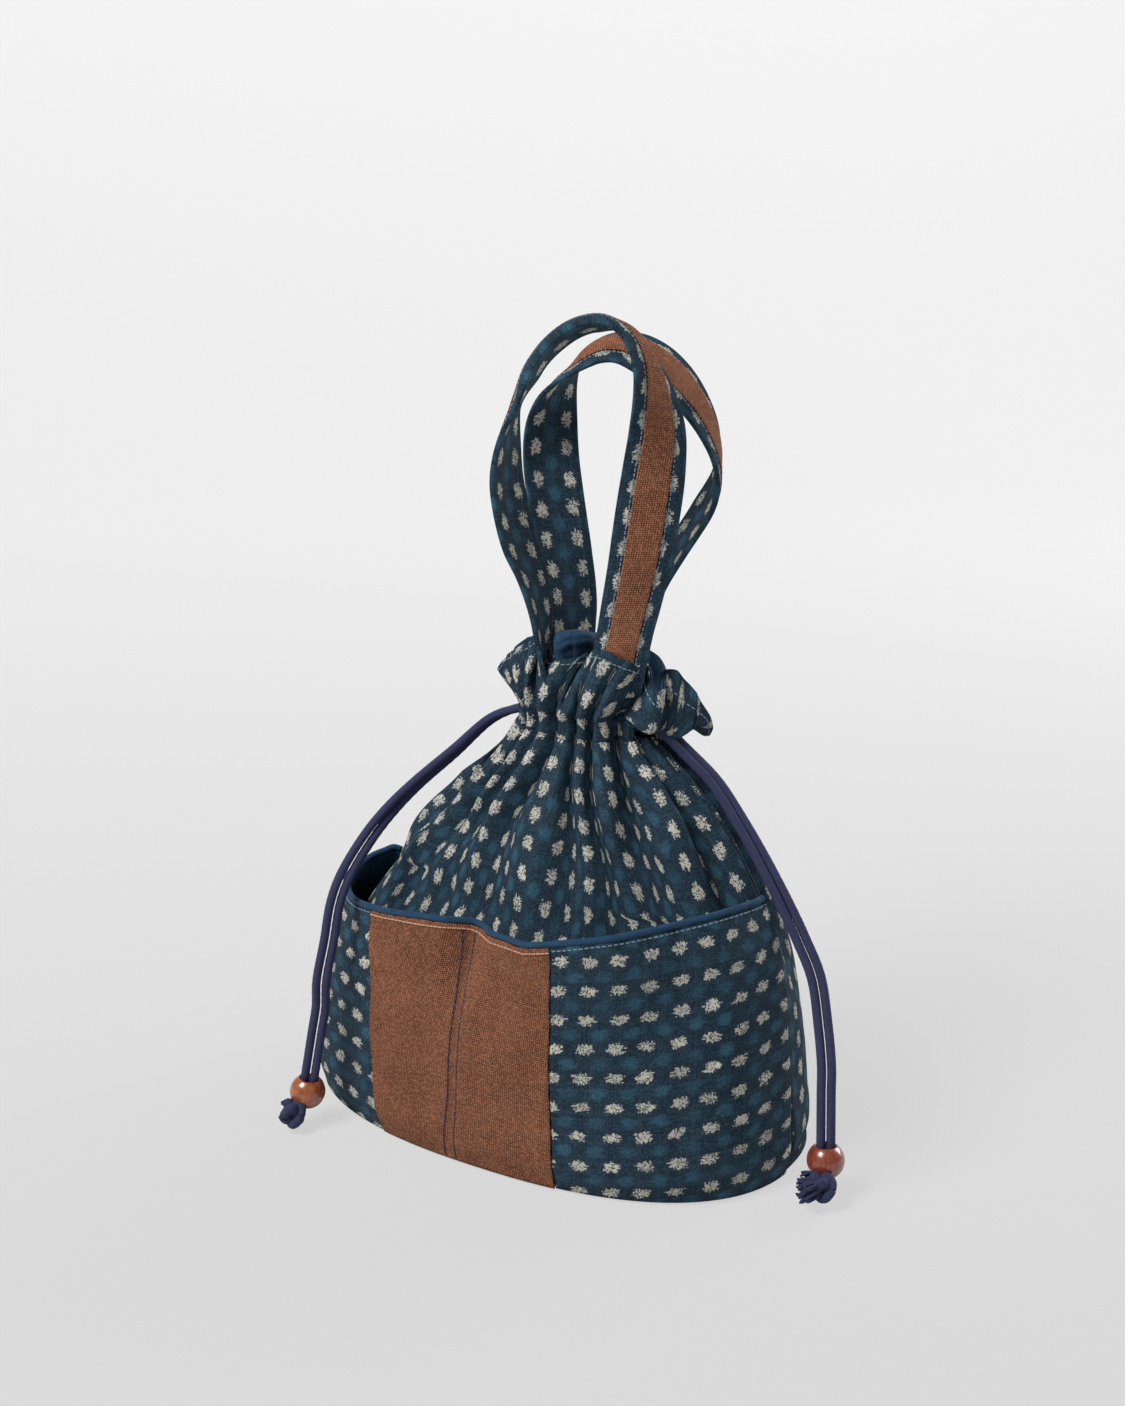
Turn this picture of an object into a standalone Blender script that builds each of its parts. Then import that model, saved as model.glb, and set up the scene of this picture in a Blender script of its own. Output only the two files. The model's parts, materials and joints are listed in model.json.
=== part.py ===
"""Kinchaku drawstring pouch with two handles, an outside pocket and two bead-stopped cords.

The pouch stands on the floor. +Z is up, the pocket faces -Y, and the origin is the
middle of the flat base. Blender works in metres; the sizes below are in millimetres.
"""
import bisect
import math

import bpy
import bmesh
from mathutils import Vector

MM = 0.001

# Cloth
CLOTH = 0.8            # outer cloth and lining
GAP = 0.35             # clear space between two layers
BASE_THICK = 1.3

# Outer skin of the bag
BASE_HALF_X = 128.0
BASE_HALF_Y = 78.0
BASE_POWER = 2.4       # 2 is an ellipse, more is squarer
NECK_HALF_X = 33.5
NECK_HALF_Y = 23.5
NECK_LEAN = 14.0       # the neck stands this far to the right of the base
NECK_Z = 198.0
CASING_HEIGHT = 13.0
PLEAT_DEPTH = 4.6      # half the height of a fold on the shoulder
NECK_PLEAT = 2.0
PLEATS = 16

# Ruffle above the casing
RUFFLE_LIFT = 27.0
RUFFLE_OUT = 9.0
RUFFLE_PLEAT = 3.0
FLARE_OUT = 21.0       # the right end of the ruffle hangs out
FLARE_DROP = 21.0
LOBE_OUT = 6.0         # the left end stands out a little
LOBE_DROP = 5.0

# Pocket over the whole front
POCKET_LEFT_Z = 104.0
POCKET_MID_Z = 114.5
POCKET_RIGHT_Z = 131.0
POCKET_GAPE = 19.0
PIPING = 3.0
CENTRE_PANEL = (239.0, 287.8)  # where the plain centre panel starts and ends, degrees

# Handles
STRAP_WIDTH = 28.0
STRAP_THICK = 2.4
STRIP_WIDTH = 15.0
STRIP_THICK = 0.7
FOOT_DEPTH = 20.0      # length of strap that is sewn in between cloth and lining
FOOT_TOP = 3.12        # level where a foot leaves the mouth; 3 is the rim

# Drawcords, beads and knots
CORD = 4.2
STRAND_GAP = 0.4
BEAD = 17.4
BORE_CLEARANCE = 0.35
KNOT_WIDTH = 24.0
KNOT_HEIGHT = 11.0
KNOT_DISH = 2.4        # the bead sits this deep in the knot
BEAD_TRAVEL = 30.0

STRAND_PITCH = CORD + STRAND_GAP
BORE = 2 * CORD + STRAND_GAP + 2 * BORE_CLEARANCE
SLIT_HALF = CORD + STRAND_GAP / 2 + 3.2
WALL_Z = BASE_THICK + 0.55

# Upright section of the skin: height as a share of the neck height, then how far width
# and depth are from neck to base, how far the lean has come, and the depth of the folds.
SECTION = (
    (0.00, 0.980, 0.963, 0.00, 0.00),
    (0.06, 1.000, 1.000, 0.00, 0.00),
    (0.15, 0.972, 0.960, 0.07, 0.00),
    (0.30, 0.926, 0.880, 0.21, 0.00),
    (0.45, 0.850, 0.760, 0.50, 0.02),
    (0.58, 0.757, 0.665, 0.79, 0.20),
    (0.66, 0.672, 0.596, 0.79, 0.46),
    (0.75, 0.545, 0.486, 0.79, 0.78),
    (0.84, 0.376, 0.376, 0.86, 1.00),
    (0.91, 0.206, 0.248, 0.93, 0.92),
    (0.96, 0.080, 0.110, 1.00, 0.66),
    (1.00, 0.000, 0.000, 1.00, 0.44),
)

# Where the handle feet are sewn in, degrees round the mouth
FRONT_FEET = (231.0, 304.0)
BACK_FEET = (132.0, 80.0)


def remove_everything():
    for old in list(bpy.data.objects):
        bpy.data.objects.remove(old, do_unlink=True)


def between(table, at, column):
    """Smooth value of one column of a table at a height."""
    heights = [row[0] for row in table]
    at = min(max(at, heights[0]), heights[-1])
    i = min(max(bisect.bisect_right(heights, at) - 1, 0), len(table) - 2)
    p = [table[min(max(k, 0), len(table) - 1)][column] for k in (i - 1, i, i + 1, i + 2)]
    t = (at - heights[i]) / (heights[i + 1] - heights[i])
    return 0.5 * (2 * p[1] + (p[2] - p[0]) * t + (2 * p[0] - 5 * p[1] + 4 * p[2] - p[3]) * t * t
                  + (3 * p[1] - p[0] - 3 * p[2] + p[3]) * t ** 3)


def oval(angle, half_x, half_y, power):
    c, s = math.cos(angle), math.sin(angle)
    r = (abs(c) ** power + abs(s) ** power) ** (-1 / power)
    return half_x * c * r, half_y * s * r


def skin_level(level):
    """Half sizes, lean and squareness at a level: 0 to 1 is floor to neck."""
    level = min(level, 1.0)
    half_x = NECK_HALF_X + (BASE_HALF_X - NECK_HALF_X) * between(SECTION, level, 1)
    half_y = NECK_HALF_Y + (BASE_HALF_Y - NECK_HALF_Y) * between(SECTION, level, 2)
    lean = NECK_LEAN * between(SECTION, level, 3)
    power = BASE_POWER + (2.0 - BASE_POWER) * level ** 2
    return half_x, half_y, lean, power


def smooth_skin(angle, level):
    """Point of the skin without folds. Level 1 to 2 is the casing, 2 to 3 the ruffle."""
    half_x, half_y, lean, power = skin_level(level)
    x, y = oval(angle, half_x, half_y, power)
    z = WALL_Z + (NECK_Z - WALL_Z) * min(level, 1.0)
    z += CASING_HEIGHT * min(max(level - 1, 0), 1)
    t = max(level - 2, 0)
    if t > 0:
        right = max(0.0, math.cos(angle)) ** 14
        left = max(0.0, -math.cos(angle)) ** 6
        out = (RUFFLE_OUT + FLARE_OUT * right + LOBE_OUT * left) * t ** 1.4
        side = Vector((x / half_x ** 2, y / half_y ** 2)).normalized()
        x += side.x * out
        y += side.y * out
        z += (RUFFLE_LIFT - FLARE_DROP * right - LOBE_DROP * left) * t
    return Vector((x + lean, y, z))


def skin_normal(angle, level):
    step = 0.01
    low = max(level - step, 0.0)
    round_way = smooth_skin(angle + step, level) - smooth_skin(angle - step, level)
    up_way = smooth_skin(angle, level + step) - smooth_skin(angle, low)
    return round_way.cross(up_way).normalized()


def pleat_depth(level):
    if level <= 1:
        return PLEAT_DEPTH * between(SECTION, level, 4)
    if level <= 2:
        return NECK_PLEAT
    return NECK_PLEAT + (RUFFLE_PLEAT - NECK_PLEAT) * (level - 2)


def fold(angle, level):
    """Height of the folds above the smooth skin, at most one pleat depth."""
    wave = math.cos(PLEATS * angle)
    uneven = 1 - 0.22 * math.sin(angle) ** 2 * (1 + math.sin(5 * angle + 0.6))
    from_seam = abs(math.degrees(math.remainder(angle, math.pi)))
    quiet = 6 + 14 * min(max((level - 0.86) / 0.12, 0), 1)
    uneven *= 1 - math.exp(-(from_seam / quiet) ** 4)
    if level > 2:
        for foot in FRONT_FEET + BACK_FEET:
            away = math.degrees(abs(math.remainder(angle - math.radians(foot), 2 * math.pi)))
            uneven *= 1 - math.exp(-(away / 38) ** 10)
    return pleat_depth(level) * wave * uneven


def offset_skin(angle, level, out, folds=True):
    height = out + (fold(angle, level) if folds else 0.0)
    return smooth_skin(angle, level) + skin_normal(angle, level) * height


def material(name, colour, roughness):
    made = bpy.data.materials.new(name)
    made.use_nodes = True
    shader = made.node_tree.nodes["Principled BSDF"]
    shader.inputs["Base Color"].default_value = (*colour, 1.0)
    shader.inputs["Roughness"].default_value = roughness
    shader.inputs["Metallic"].default_value = 0.0
    made.diffuse_color = (*colour, 1.0)
    return made


def put(name, mesh, colour, roughness):
    made = bpy.data.objects.new(name, mesh)
    made.data.materials.append(material(name, colour, roughness))
    pouch.objects.link(made)
    return made


def sheet(name, rows, thick, colour, closed=False, floor=False):
    """A cloth sheet: an open surface through rows of points, made thick both ways."""
    mesh = bpy.data.meshes.new(name)
    bm = bmesh.new()
    grid = [[bm.verts.new(p * MM) for p in row] for row in rows]
    last = len(grid[0]) if closed else len(grid[0]) - 1
    for low, high in zip(grid, grid[1:]):
        for i in range(last):
            j = (i + 1) % len(low)
            bm.faces.new((low[i], low[j], high[j], high[i]))
    if floor:
        bm.faces.new(list(reversed(grid[0])))
    bm.to_mesh(mesh)
    bm.free()
    made = put(name, mesh, colour, 0.85)
    wall = made.modifiers.new("cloth", "SOLIDIFY")
    wall.thickness = thick * MM
    wall.offset = 0.0
    return made


BODY_LEVELS = (0.0, 0.10, 0.30, 0.50, 0.60, 0.69, 0.78, 0.86, 0.925, 0.975,
               1.04, 1.5, 1.96, 2.14, 2.5, 3.0)
BODY_COLUMNS = 32


def body_panel(name, start):
    """Half of the outer cloth, from side seam to side seam, open at the casing ends."""
    rows = []
    for level in BODY_LEVELS:
        half_y = skin_level(level)[1]
        open_half = SLIT_HALF if 1 < level < 2 else GAP / 2
        inset = math.asin(open_half / half_y)
        row = []
        for i in range(BODY_COLUMNS + 1):
            share = i / BODY_COLUMNS
            angle = start + inset + (math.pi - 2 * inset) * share
            flat = start + math.pi * share
            height = fold(flat, level)
            if level < 0.75 and start > 3:
                height += divider_bulge(flat, level)
            row.append(smooth_skin(angle, level) + skin_normal(angle, level) * height)
        rows.append(row)
    return sheet(name, rows, CLOTH, (0.035, 0.085, 0.13))


def divider_bulge(angle, level):
    """The stitched line between the two pockets draws the body cloth forward."""
    away = math.degrees(angle) - 263.0
    return 5.0 * math.exp(-(away / 9) ** 2) * math.sin(math.pi * min(level / 0.75, 1)) ** 0.8


def lining():
    """Plain inner bag: wall and floor, drawn in at the neck to clear the cord rings."""
    columns = 36
    rows = []
    for level in (0.004, 0.3, 0.6, 0.78, 0.9, 0.96, 1.05, 1.95, 2.2, 3.0):
        row = []
        for i in range(columns):
            angle = 2 * math.pi * i / columns
            row.append(offset_skin(angle, level, -lining_inset(level), folds=False))
        rows.append(row)
    return sheet("lining", rows, CLOTH, (0.02, 0.05, 0.10), closed=True, floor=True)


def lining_inset(level):
    inset = pleat_depth(level) + CLOTH + GAP
    ring = NECK_PLEAT + CLOTH + 4 * GAP + CORD
    foot = STRAP_THICK + CLOTH + 10 * GAP
    if level <= 1:
        near = min(max((level - 0.86) / 0.14, 0), 1)
        return inset + (ring - inset) * near
    if level <= 2:
        return ring
    return ring + (foot - ring) * min((level - 2) / 0.2, 1)


def base_panel():
    """Flat oval base that the walls are sewn to."""
    out = CLOTH * 2 + GAP * 2
    curve = bpy.data.curves.new("base_panel", "CURVE")
    curve.dimensions = "2D"
    curve.fill_mode = "BOTH"
    curve.extrude = BASE_THICK / 2 * MM
    points = 48
    line = curve.splines.new("POLY")
    line.points.add(points - 1)
    half_x, half_y, lean, power = skin_level(0.0)
    for i, point in enumerate(line.points):
        x, y = oval(2 * math.pi * i / points, half_x + out, half_y + out, power)
        point.co = ((x + lean) * MM, y * MM, 0.0, 1.0)
    line.use_cyclic_u = True
    made = put("base_panel", curve, (0.03, 0.07, 0.11), 0.85)
    made.location.z = BASE_THICK / 2 * MM
    return made


# Opening of the pocket along its rim: degrees round the bag, share of the full gape
GAPE = ((180.0, 0.0), (192.0, 0.40), (212.0, 0.70), (240.0, 1.08), (256.0, 0.62), (263.0, 0.10),
        (270.0, 0.62), (284.0, 1.0), (300.0, 0.92), (316.0, 0.38), (335.0, 0.17), (350.0, 0.15), (360.0, 0.10))
POCKET_LEVELS = BODY_LEVELS[:4]     # rows below the rim, level with those of the bag


def rim_height(degrees):
    """Height of the rim: low round the left end, level at the canvas, rising to the right."""
    left = min(max((degrees - 220) / 36, 0), 1)
    right = min(max((degrees - 280) / 65, 0), 1)
    return (POCKET_LEFT_Z + (POCKET_MID_Z - POCKET_LEFT_Z) * left * left * (3 - 2 * left)
            + (POCKET_RIGHT_Z - POCKET_MID_Z) * math.sin(math.pi / 2 * right))


def pocket_point(degrees, row, out):
    """Point on the pocket wall at one of its rows; the last row is the rim."""
    rim = (rim_height(degrees) - WALL_Z) / (NECK_Z - WALL_Z)
    level = (POCKET_LEVELS + (rim,))[row]
    angle = math.radians(degrees)
    gape = POCKET_GAPE * between(GAPE, degrees, 1) * (level / rim) ** 1.5
    height = max(fold(angle, level), 0.0) + divider_bulge(angle, level)
    return smooth_skin(angle, level) + skin_normal(angle, level) * (height + gape + out)


def pocket_sheet(name, start, end, out, colour):
    """Part of the pocket wall between two angles, with the columns of the bag behind it."""
    step = 180 / BODY_COLUMNS
    inner = [180 + step * i for i in range(BODY_COLUMNS + 1)]
    columns = [start] + [at for at in inner if start + 1 < at < end - 1] + [end]
    rows = [[pocket_point(at, row, out) for at in columns]
            for row in range(len(POCKET_LEVELS) + 1)]
    return sheet(name, rows, CLOTH, colour)


def pocket():
    edge = 0.22     # degrees that part neighbouring panels
    side = 0.5      # degrees that part the pocket from the side seam
    kasuri = (0.035, 0.085, 0.13)
    outer = 2 * (CLOTH + GAP)
    left, right = CENTRE_PANEL
    pocket_sheet("pocket_left_panel", 180 + side, left - edge, outer, kasuri)
    pocket_sheet("pocket_centre_panel", left + edge, right - edge, outer, (0.20, 0.075, 0.035))
    pocket_sheet("pocket_right_panel", right + edge, 360 - side, outer, kasuri)
    pocket_sheet("pocket_lining", 180 + side, 360 - side, CLOTH + GAP, (0.02, 0.05, 0.10))
    points = 28
    last = len(POCKET_LEVELS)
    rim = []
    for i in range(points + 1):
        at = 180 + 3 * side + (180 - 6 * side) * i / points
        rim.append(pocket_point(at, last, 1.5 * (CLOTH + GAP))
                   + Vector((0, 0, PIPING / 2 + 2 * GAP)))
    tube("pocket_piping", rim, PIPING, (0.02, 0.06, 0.12))


def tube(name, points, diameter, colour):
    curve = bpy.data.curves.new(name, "CURVE")
    curve.dimensions = "3D"
    curve.bevel_depth = diameter / 2 * MM
    curve.bevel_resolution = 2
    curve.use_fill_caps = True
    line = curve.splines.new("POLY")
    line.points.add(len(points) - 1)
    for point, at in zip(line.points, points):
        point.co = (*(at * MM), 1.0)
    return put(name, curve, colour, 0.8)


def smooth_line(points, spacing):
    """Even points along a smooth curve through chosen points."""
    fine = []
    last = len(points) - 1
    for i in range(last):
        a, b, c, d = (points[min(max(k, 0), last)] for k in (i - 1, i, i + 1, i + 2))
        for k in range(24):
            t = k / 24
            fine.append(0.5 * (2 * b + (c - a) * t + (2 * a - 5 * b + 4 * c - d) * t * t
                               + (3 * b - a - 3 * c + d) * t ** 3))
    fine.append(points[-1])
    travelled = [0.0]
    for a, b in zip(fine, fine[1:]):
        travelled.append(travelled[-1] + (b - a).length)
    count = max(2, round(travelled[-1] / spacing))
    even = []
    for i in range(count + 1):
        goal = travelled[-1] * i / count
        k = min(bisect.bisect_left(travelled, goal), len(fine) - 1)
        k = max(k, 1)
        part = (goal - travelled[k - 1]) / max(travelled[k] - travelled[k - 1], 1e-9)
        even.append(fine[k - 1].lerp(fine[k], part))
    return even


# Handle routes between the feet: middle of the strap, and the way its width points
FRONT_LOOP = (
    ((-4, -20, 260), (10, -24, 6)),
    ((-5, -24, 283), (-1, -27, 5)),
    ((-9, -30, 305), (-1, -28, 4)),
    ((-9, -30, 331), (5, -27, 4)),
    ((-5, -27, 352), (13, -25, 2)),
    ((0, -21, 370), (20, -20, 2)),
    ((13, -12, 384), (16, -23, -1)),
    ((30, -5, 386), (14, -24, -2)),
    ((43, -2, 374), (8, -27, 1)),
    ((50, -1, 358), (-4, -28, 2)),
    ((52, -2, 340), (-17, -22, -1)),
    ((49, -5, 312), (-25, -15, -1)),
    ((46, -7, 280), (-25, -14, 0)),
)
BACK_LOOP = (
    ((-9, 26, 254), (-13, -25, 4)),
    ((-15, 28, 275), (-18, -22, 2)),
    ((-24, 32, 305), (-21, -19, 1)),
    ((-26, 33, 333), (-15, -24, 2)),
    ((-20, 33, 352), (0, -27, 3)),
    ((-8, 35, 365), (14, -24, -5)),
    ((7, 40, 371), (10, -24, -10)),
    ((27, 44, 363), (3, -24, -15)),
    ((46, 47, 343), (5, -27, -6)),
    ((56, 46, 319), (13, -25, 3)),
    ((50, 41, 296), (20, -20, -1)),
    ((35, 35, 268), (19, -21, 0)),
)


def strap_rows(feet, loop, shares, out):
    """Rows of points over a handle: foot, loop, foot. The feet follow the mouth."""
    reach = FOOT_DEPTH / RUFFLE_LIFT

    def foot_row(degrees, level, turn):
        angle = math.radians(degrees)
        step = 0.01
        speed = (smooth_skin(angle + step, level) - smooth_skin(angle - step, level)).length
        per_mm = 2 * step / speed
        inset = -(STRAP_THICK / 2 + CLOTH / 2 + GAP * 3) + out
        return [offset_skin(angle + turn * s * STRAP_WIDTH * per_mm, level, inset, folds=False)
                for s in shares]

    levels = [3.0 - reach, 3.0 - reach / 2, FOOT_TOP]
    rows = [foot_row(feet[0], level, 1) for level in levels]
    middle = [Vector(place) for place, way in loop]
    ways = [Vector(way).normalized() for place, way in loop]
    start = foot_row(feet[0], FOOT_TOP, 1)
    end = foot_row(feet[1], FOOT_TOP, -1)
    spine = [(start[0] + start[-1]) / 2] + middle + [(end[0] + end[-1]) / 2]
    lead = [(start[-1] - start[0]).normalized()] + ways + [(end[-1] - end[0]).normalized()]
    for i in range(1, len(spine) - 1):
        a, b, c, d = (spine[min(max(k, 0), len(spine) - 1)] for k in (i - 1, i, i + 1, i + 2))
        for k in range(2):
            t = k / 2
            place = 0.5 * (2 * b + (c - a) * t + (2 * a - 5 * b + 4 * c - d) * t * t
                           + (3 * b - a - 3 * c + d) * t ** 3)
            along = (c - a).lerp(d - b, t).normalized()
            way = lead[i].lerp(lead[i + 1], t)
            way = (way - along * way.dot(along)).normalized()
            face = way.cross(along).normalized()
            rows.append([place + way * s * STRAP_WIDTH + face * out for s in shares])
    rows += [foot_row(feet[1], level, -1) for level in reversed(levels)]
    return rows


def handles():
    edge = STRIP_WIDTH / STRAP_WIDTH / 2
    lift = STRAP_THICK / 2 + STRIP_THICK / 2 + 1.4 * GAP
    for name, feet, loop in (("front", FRONT_FEET, FRONT_LOOP), ("back", BACK_FEET, BACK_LOOP)):
        rows = strap_rows(feet, loop, (-0.5, -edge, edge, 0.5), 0.0)
        sheet(f"handle_{name}_strap", rows, STRAP_THICK, (0.035, 0.085, 0.13))
        rows = strap_rows(feet, loop, (-edge, edge), lift)[3:-3]
        sheet(f"handle_{name}_strip", rows, STRIP_THICK, (0.20, 0.075, 0.035))


# Each cord runs from its knot up the first strand, round the neck in the casing, and back
# down the second strand. The route of the pair, from the bead to the slit in the seam:
LEFT_BEAD = Vector((-91.0, -88.0, 17.7))
LEFT_AXIS = Vector((0.15, 0.09, 0.985)).normalized()
LEFT_ROUTE = ((-82, -85, 78), (-79, -82, 98), (-77, -79, 116), (-75.5, -72, 129),
              (-73, -58, 143), (-68, -46, 155), (-60, -34, 167), (-48, -20, 181),
              (-37, -5, 195))
RIGHT_BEAD = Vector((151.8, -14.4, 17.7))
RIGHT_AXIS = Vector((-0.08, 0.10, 0.99)).normalized()
RIGHT_ROUTE = ((144, -6, 80), (138, -2, 100), (129, 0, 116), (119, 2, 131),
               (106, 4, 149), (93, 6, 165), (80, 7, 180), (67, 5, 192))
PAIR_WAY = Vector((0.848, 0.530, 0.0))


def ring_place(angle, height):
    """Centre line of a cord ring, inside the folds of the neck."""
    inset = NECK_PLEAT + CLOTH / 2 + GAP + CORD / 2
    x, y = oval(angle, NECK_HALF_X - inset, NECK_HALF_Y - inset, 2.0)
    return Vector((x + NECK_LEAN, y, height))


def cord_points(bead, axis, route, side, height):
    """Whole centre line of one cord. Side is pi at the left seam and 0 at the right."""
    outer = round(math.cos(side))
    reach = BEAD / 2 + GAP
    start = bead - axis * (math.sqrt(reach ** 2 - (CORD + STRAND_GAP / 2) ** 2) - GAP)
    middle = [start + axis * (BEAD + BEAD_TRAVEL + 6) * k / 4 for k in range(5)]
    straight = len(middle)
    middle += [Vector(place) for place in route]
    middle.append(Vector((NECK_LEAN + outer * (NECK_HALF_X + 4), 0, height)))
    middle.append(Vector((NECK_LEAN + outer * (NECK_HALF_X - 2), 0, height)))
    first = []
    second = []
    for i, place in enumerate(middle):
        along = axis
        if i >= straight:
            along = (middle[min(i + 1, len(middle) - 1)] - middle[i - 1]).normalized()
        turn = max(i - straight + 1, 0) / (len(middle) - straight)
        apart = PAIR_WAY.lerp(Vector((0, 1, 0)), turn)
        apart = (apart - along * apart.dot(along)).normalized() * STRAND_PITCH / 2
        first.append(place + apart)
        second.append(place - apart)
    turns = 22
    free = 0.46     # radians of the ring left open at the slit
    way = outer
    ring = [ring_place(side + way * (free + (2 * math.pi - 2 * free) * k / turns), height)
            for k in range(turns + 1)]
    up = smooth_line(first + ring[:1], CORD * 2.9)
    down = smooth_line(ring[-1:] + list(reversed(second)), CORD * 2.9)
    return up[:-1] + smooth_line(ring, CORD * 2.0) + down[1:]


def bead(name, centre, axis, colour):
    """Turned wooden ball with a bore for both strands."""
    mesh = bpy.data.meshes.new(name)
    bm = bmesh.new()
    radius, bore = BEAD / 2, BORE / 2
    half = math.sqrt(radius ** 2 - (bore + 0.4) ** 2)
    steps = 8
    top = math.atan2(half, bore + 0.4)
    profile = [(radius * math.cos(top - 2 * top * k / steps),
                radius * math.sin(top - 2 * top * k / steps)) for k in range(steps + 1)]
    profile += [(bore, -half + 0.4), (bore, half - 0.4)]
    ring = [bm.verts.new((r * MM, 0, z * MM)) for r, z in profile]
    for a, b in zip(ring, ring[1:] + ring[:1]):
        bm.edges.new((a, b))
    bm.to_mesh(mesh)
    bm.free()
    made = put(name, mesh, colour, 0.35)
    turn = made.modifiers.new("turned", "SCREW")
    turn.axis = "Z"
    turn.steps = 16
    turn.render_steps = 16
    turn.use_merge_vertices = True
    turn.merge_threshold = 0.00001
    turn.use_smooth_shade = True
    made.rotation_mode = "QUATERNION"
    made.rotation_quaternion = axis.to_track_quat("Z", "Y")
    made.location = centre * MM
    return made


def knot(name, centre, axis, seed):
    """Knotted ends of both strands: a flattened lump with a dished top for the bead."""
    mesh = bpy.data.meshes.new(name)
    bm = bmesh.new()
    bmesh.ops.create_uvsphere(bm, u_segments=12, v_segments=8, radius=1.0)
    tip = Vector((0, 0, 1))
    for vert in bm.verts:
        way = vert.co.normalized()
        around = math.atan2(way.y, way.x)
        lump = 1 + 0.09 * math.sin(3 * around + seed) * (1 - way.z ** 2)
        lump += 0.05 * math.sin(5 * around - seed) * (1 - way.z ** 2)
        square = 1 / max(abs(way.z), (1 - way.z ** 2) ** 0.5) ** 0.45
        x = way.x * KNOT_WIDTH / 2 * 0.93 * lump
        y = way.y * KNOT_WIDTH / 2 * 0.80 * lump
        z = way.z * KNOT_HEIGHT / 2 * square
        vert.co = Vector((x, y, z))
    floor = -centre.z
    ball = axis * knot_to_bead()
    for vert in bm.verts:
        from_ball = vert.co - ball
        clear = BEAD / 2 + GAP
        if from_ball.length < clear:
            vert.co = ball + from_ball.normalized() * clear
        vert.co.z = max(vert.co.z, floor)
    bmesh.ops.scale(bm, vec=(MM, MM, MM), verts=bm.verts)
    bm.to_mesh(mesh)
    bm.free()
    made = put(name, mesh, (0.04, 0.05, 0.12), 0.9)
    made.location = centre * MM
    return made


def knot_to_bead():
    return KNOT_HEIGHT / 2 - KNOT_DISH + BEAD / 2


def drawcords():
    for name, place, axis, route, side, height, colour, seed in (
            ("left", LEFT_BEAD, LEFT_AXIS, LEFT_ROUTE, math.pi, NECK_Z + 3.7,
             (0.30, 0.09, 0.03), 0.4),
            ("right", RIGHT_BEAD, RIGHT_AXIS, RIGHT_ROUTE, 0.0, NECK_Z + 8.5,
             (0.24, 0.05, 0.03), 2.1)):
        points = cord_points(place, axis, route, side, height)
        tube(f"cord_{name}", points, CORD, (0.04, 0.05, 0.12))
        bead(f"bead_{name}", place, axis, colour)
        knot(f"knot_{name}", place - axis * knot_to_bead(), axis, seed)


remove_everything()
pouch = bpy.data.collections.new("kinchaku_pouch")
bpy.context.scene.collection.children.link(pouch)

body_panel("body_front_panel", math.pi)
body_panel("body_back_panel", 0.0)
lining()
base_panel()
pocket()
handles()
drawcords()
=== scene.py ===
# %% [markdown]
# A kinchaku pouch, dressed for its photograph.
# The pouch is a soft cotton bag on a flat oval base. Two drawcords gather its neck, a divided
# pocket runs over its whole front, and two strap handles stand above it.
# The solids behind it are plain shells. Here each of them gets its cloth: the folds, the
# woven marks, the stitches, the braid and the wood.

import json
import math

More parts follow.
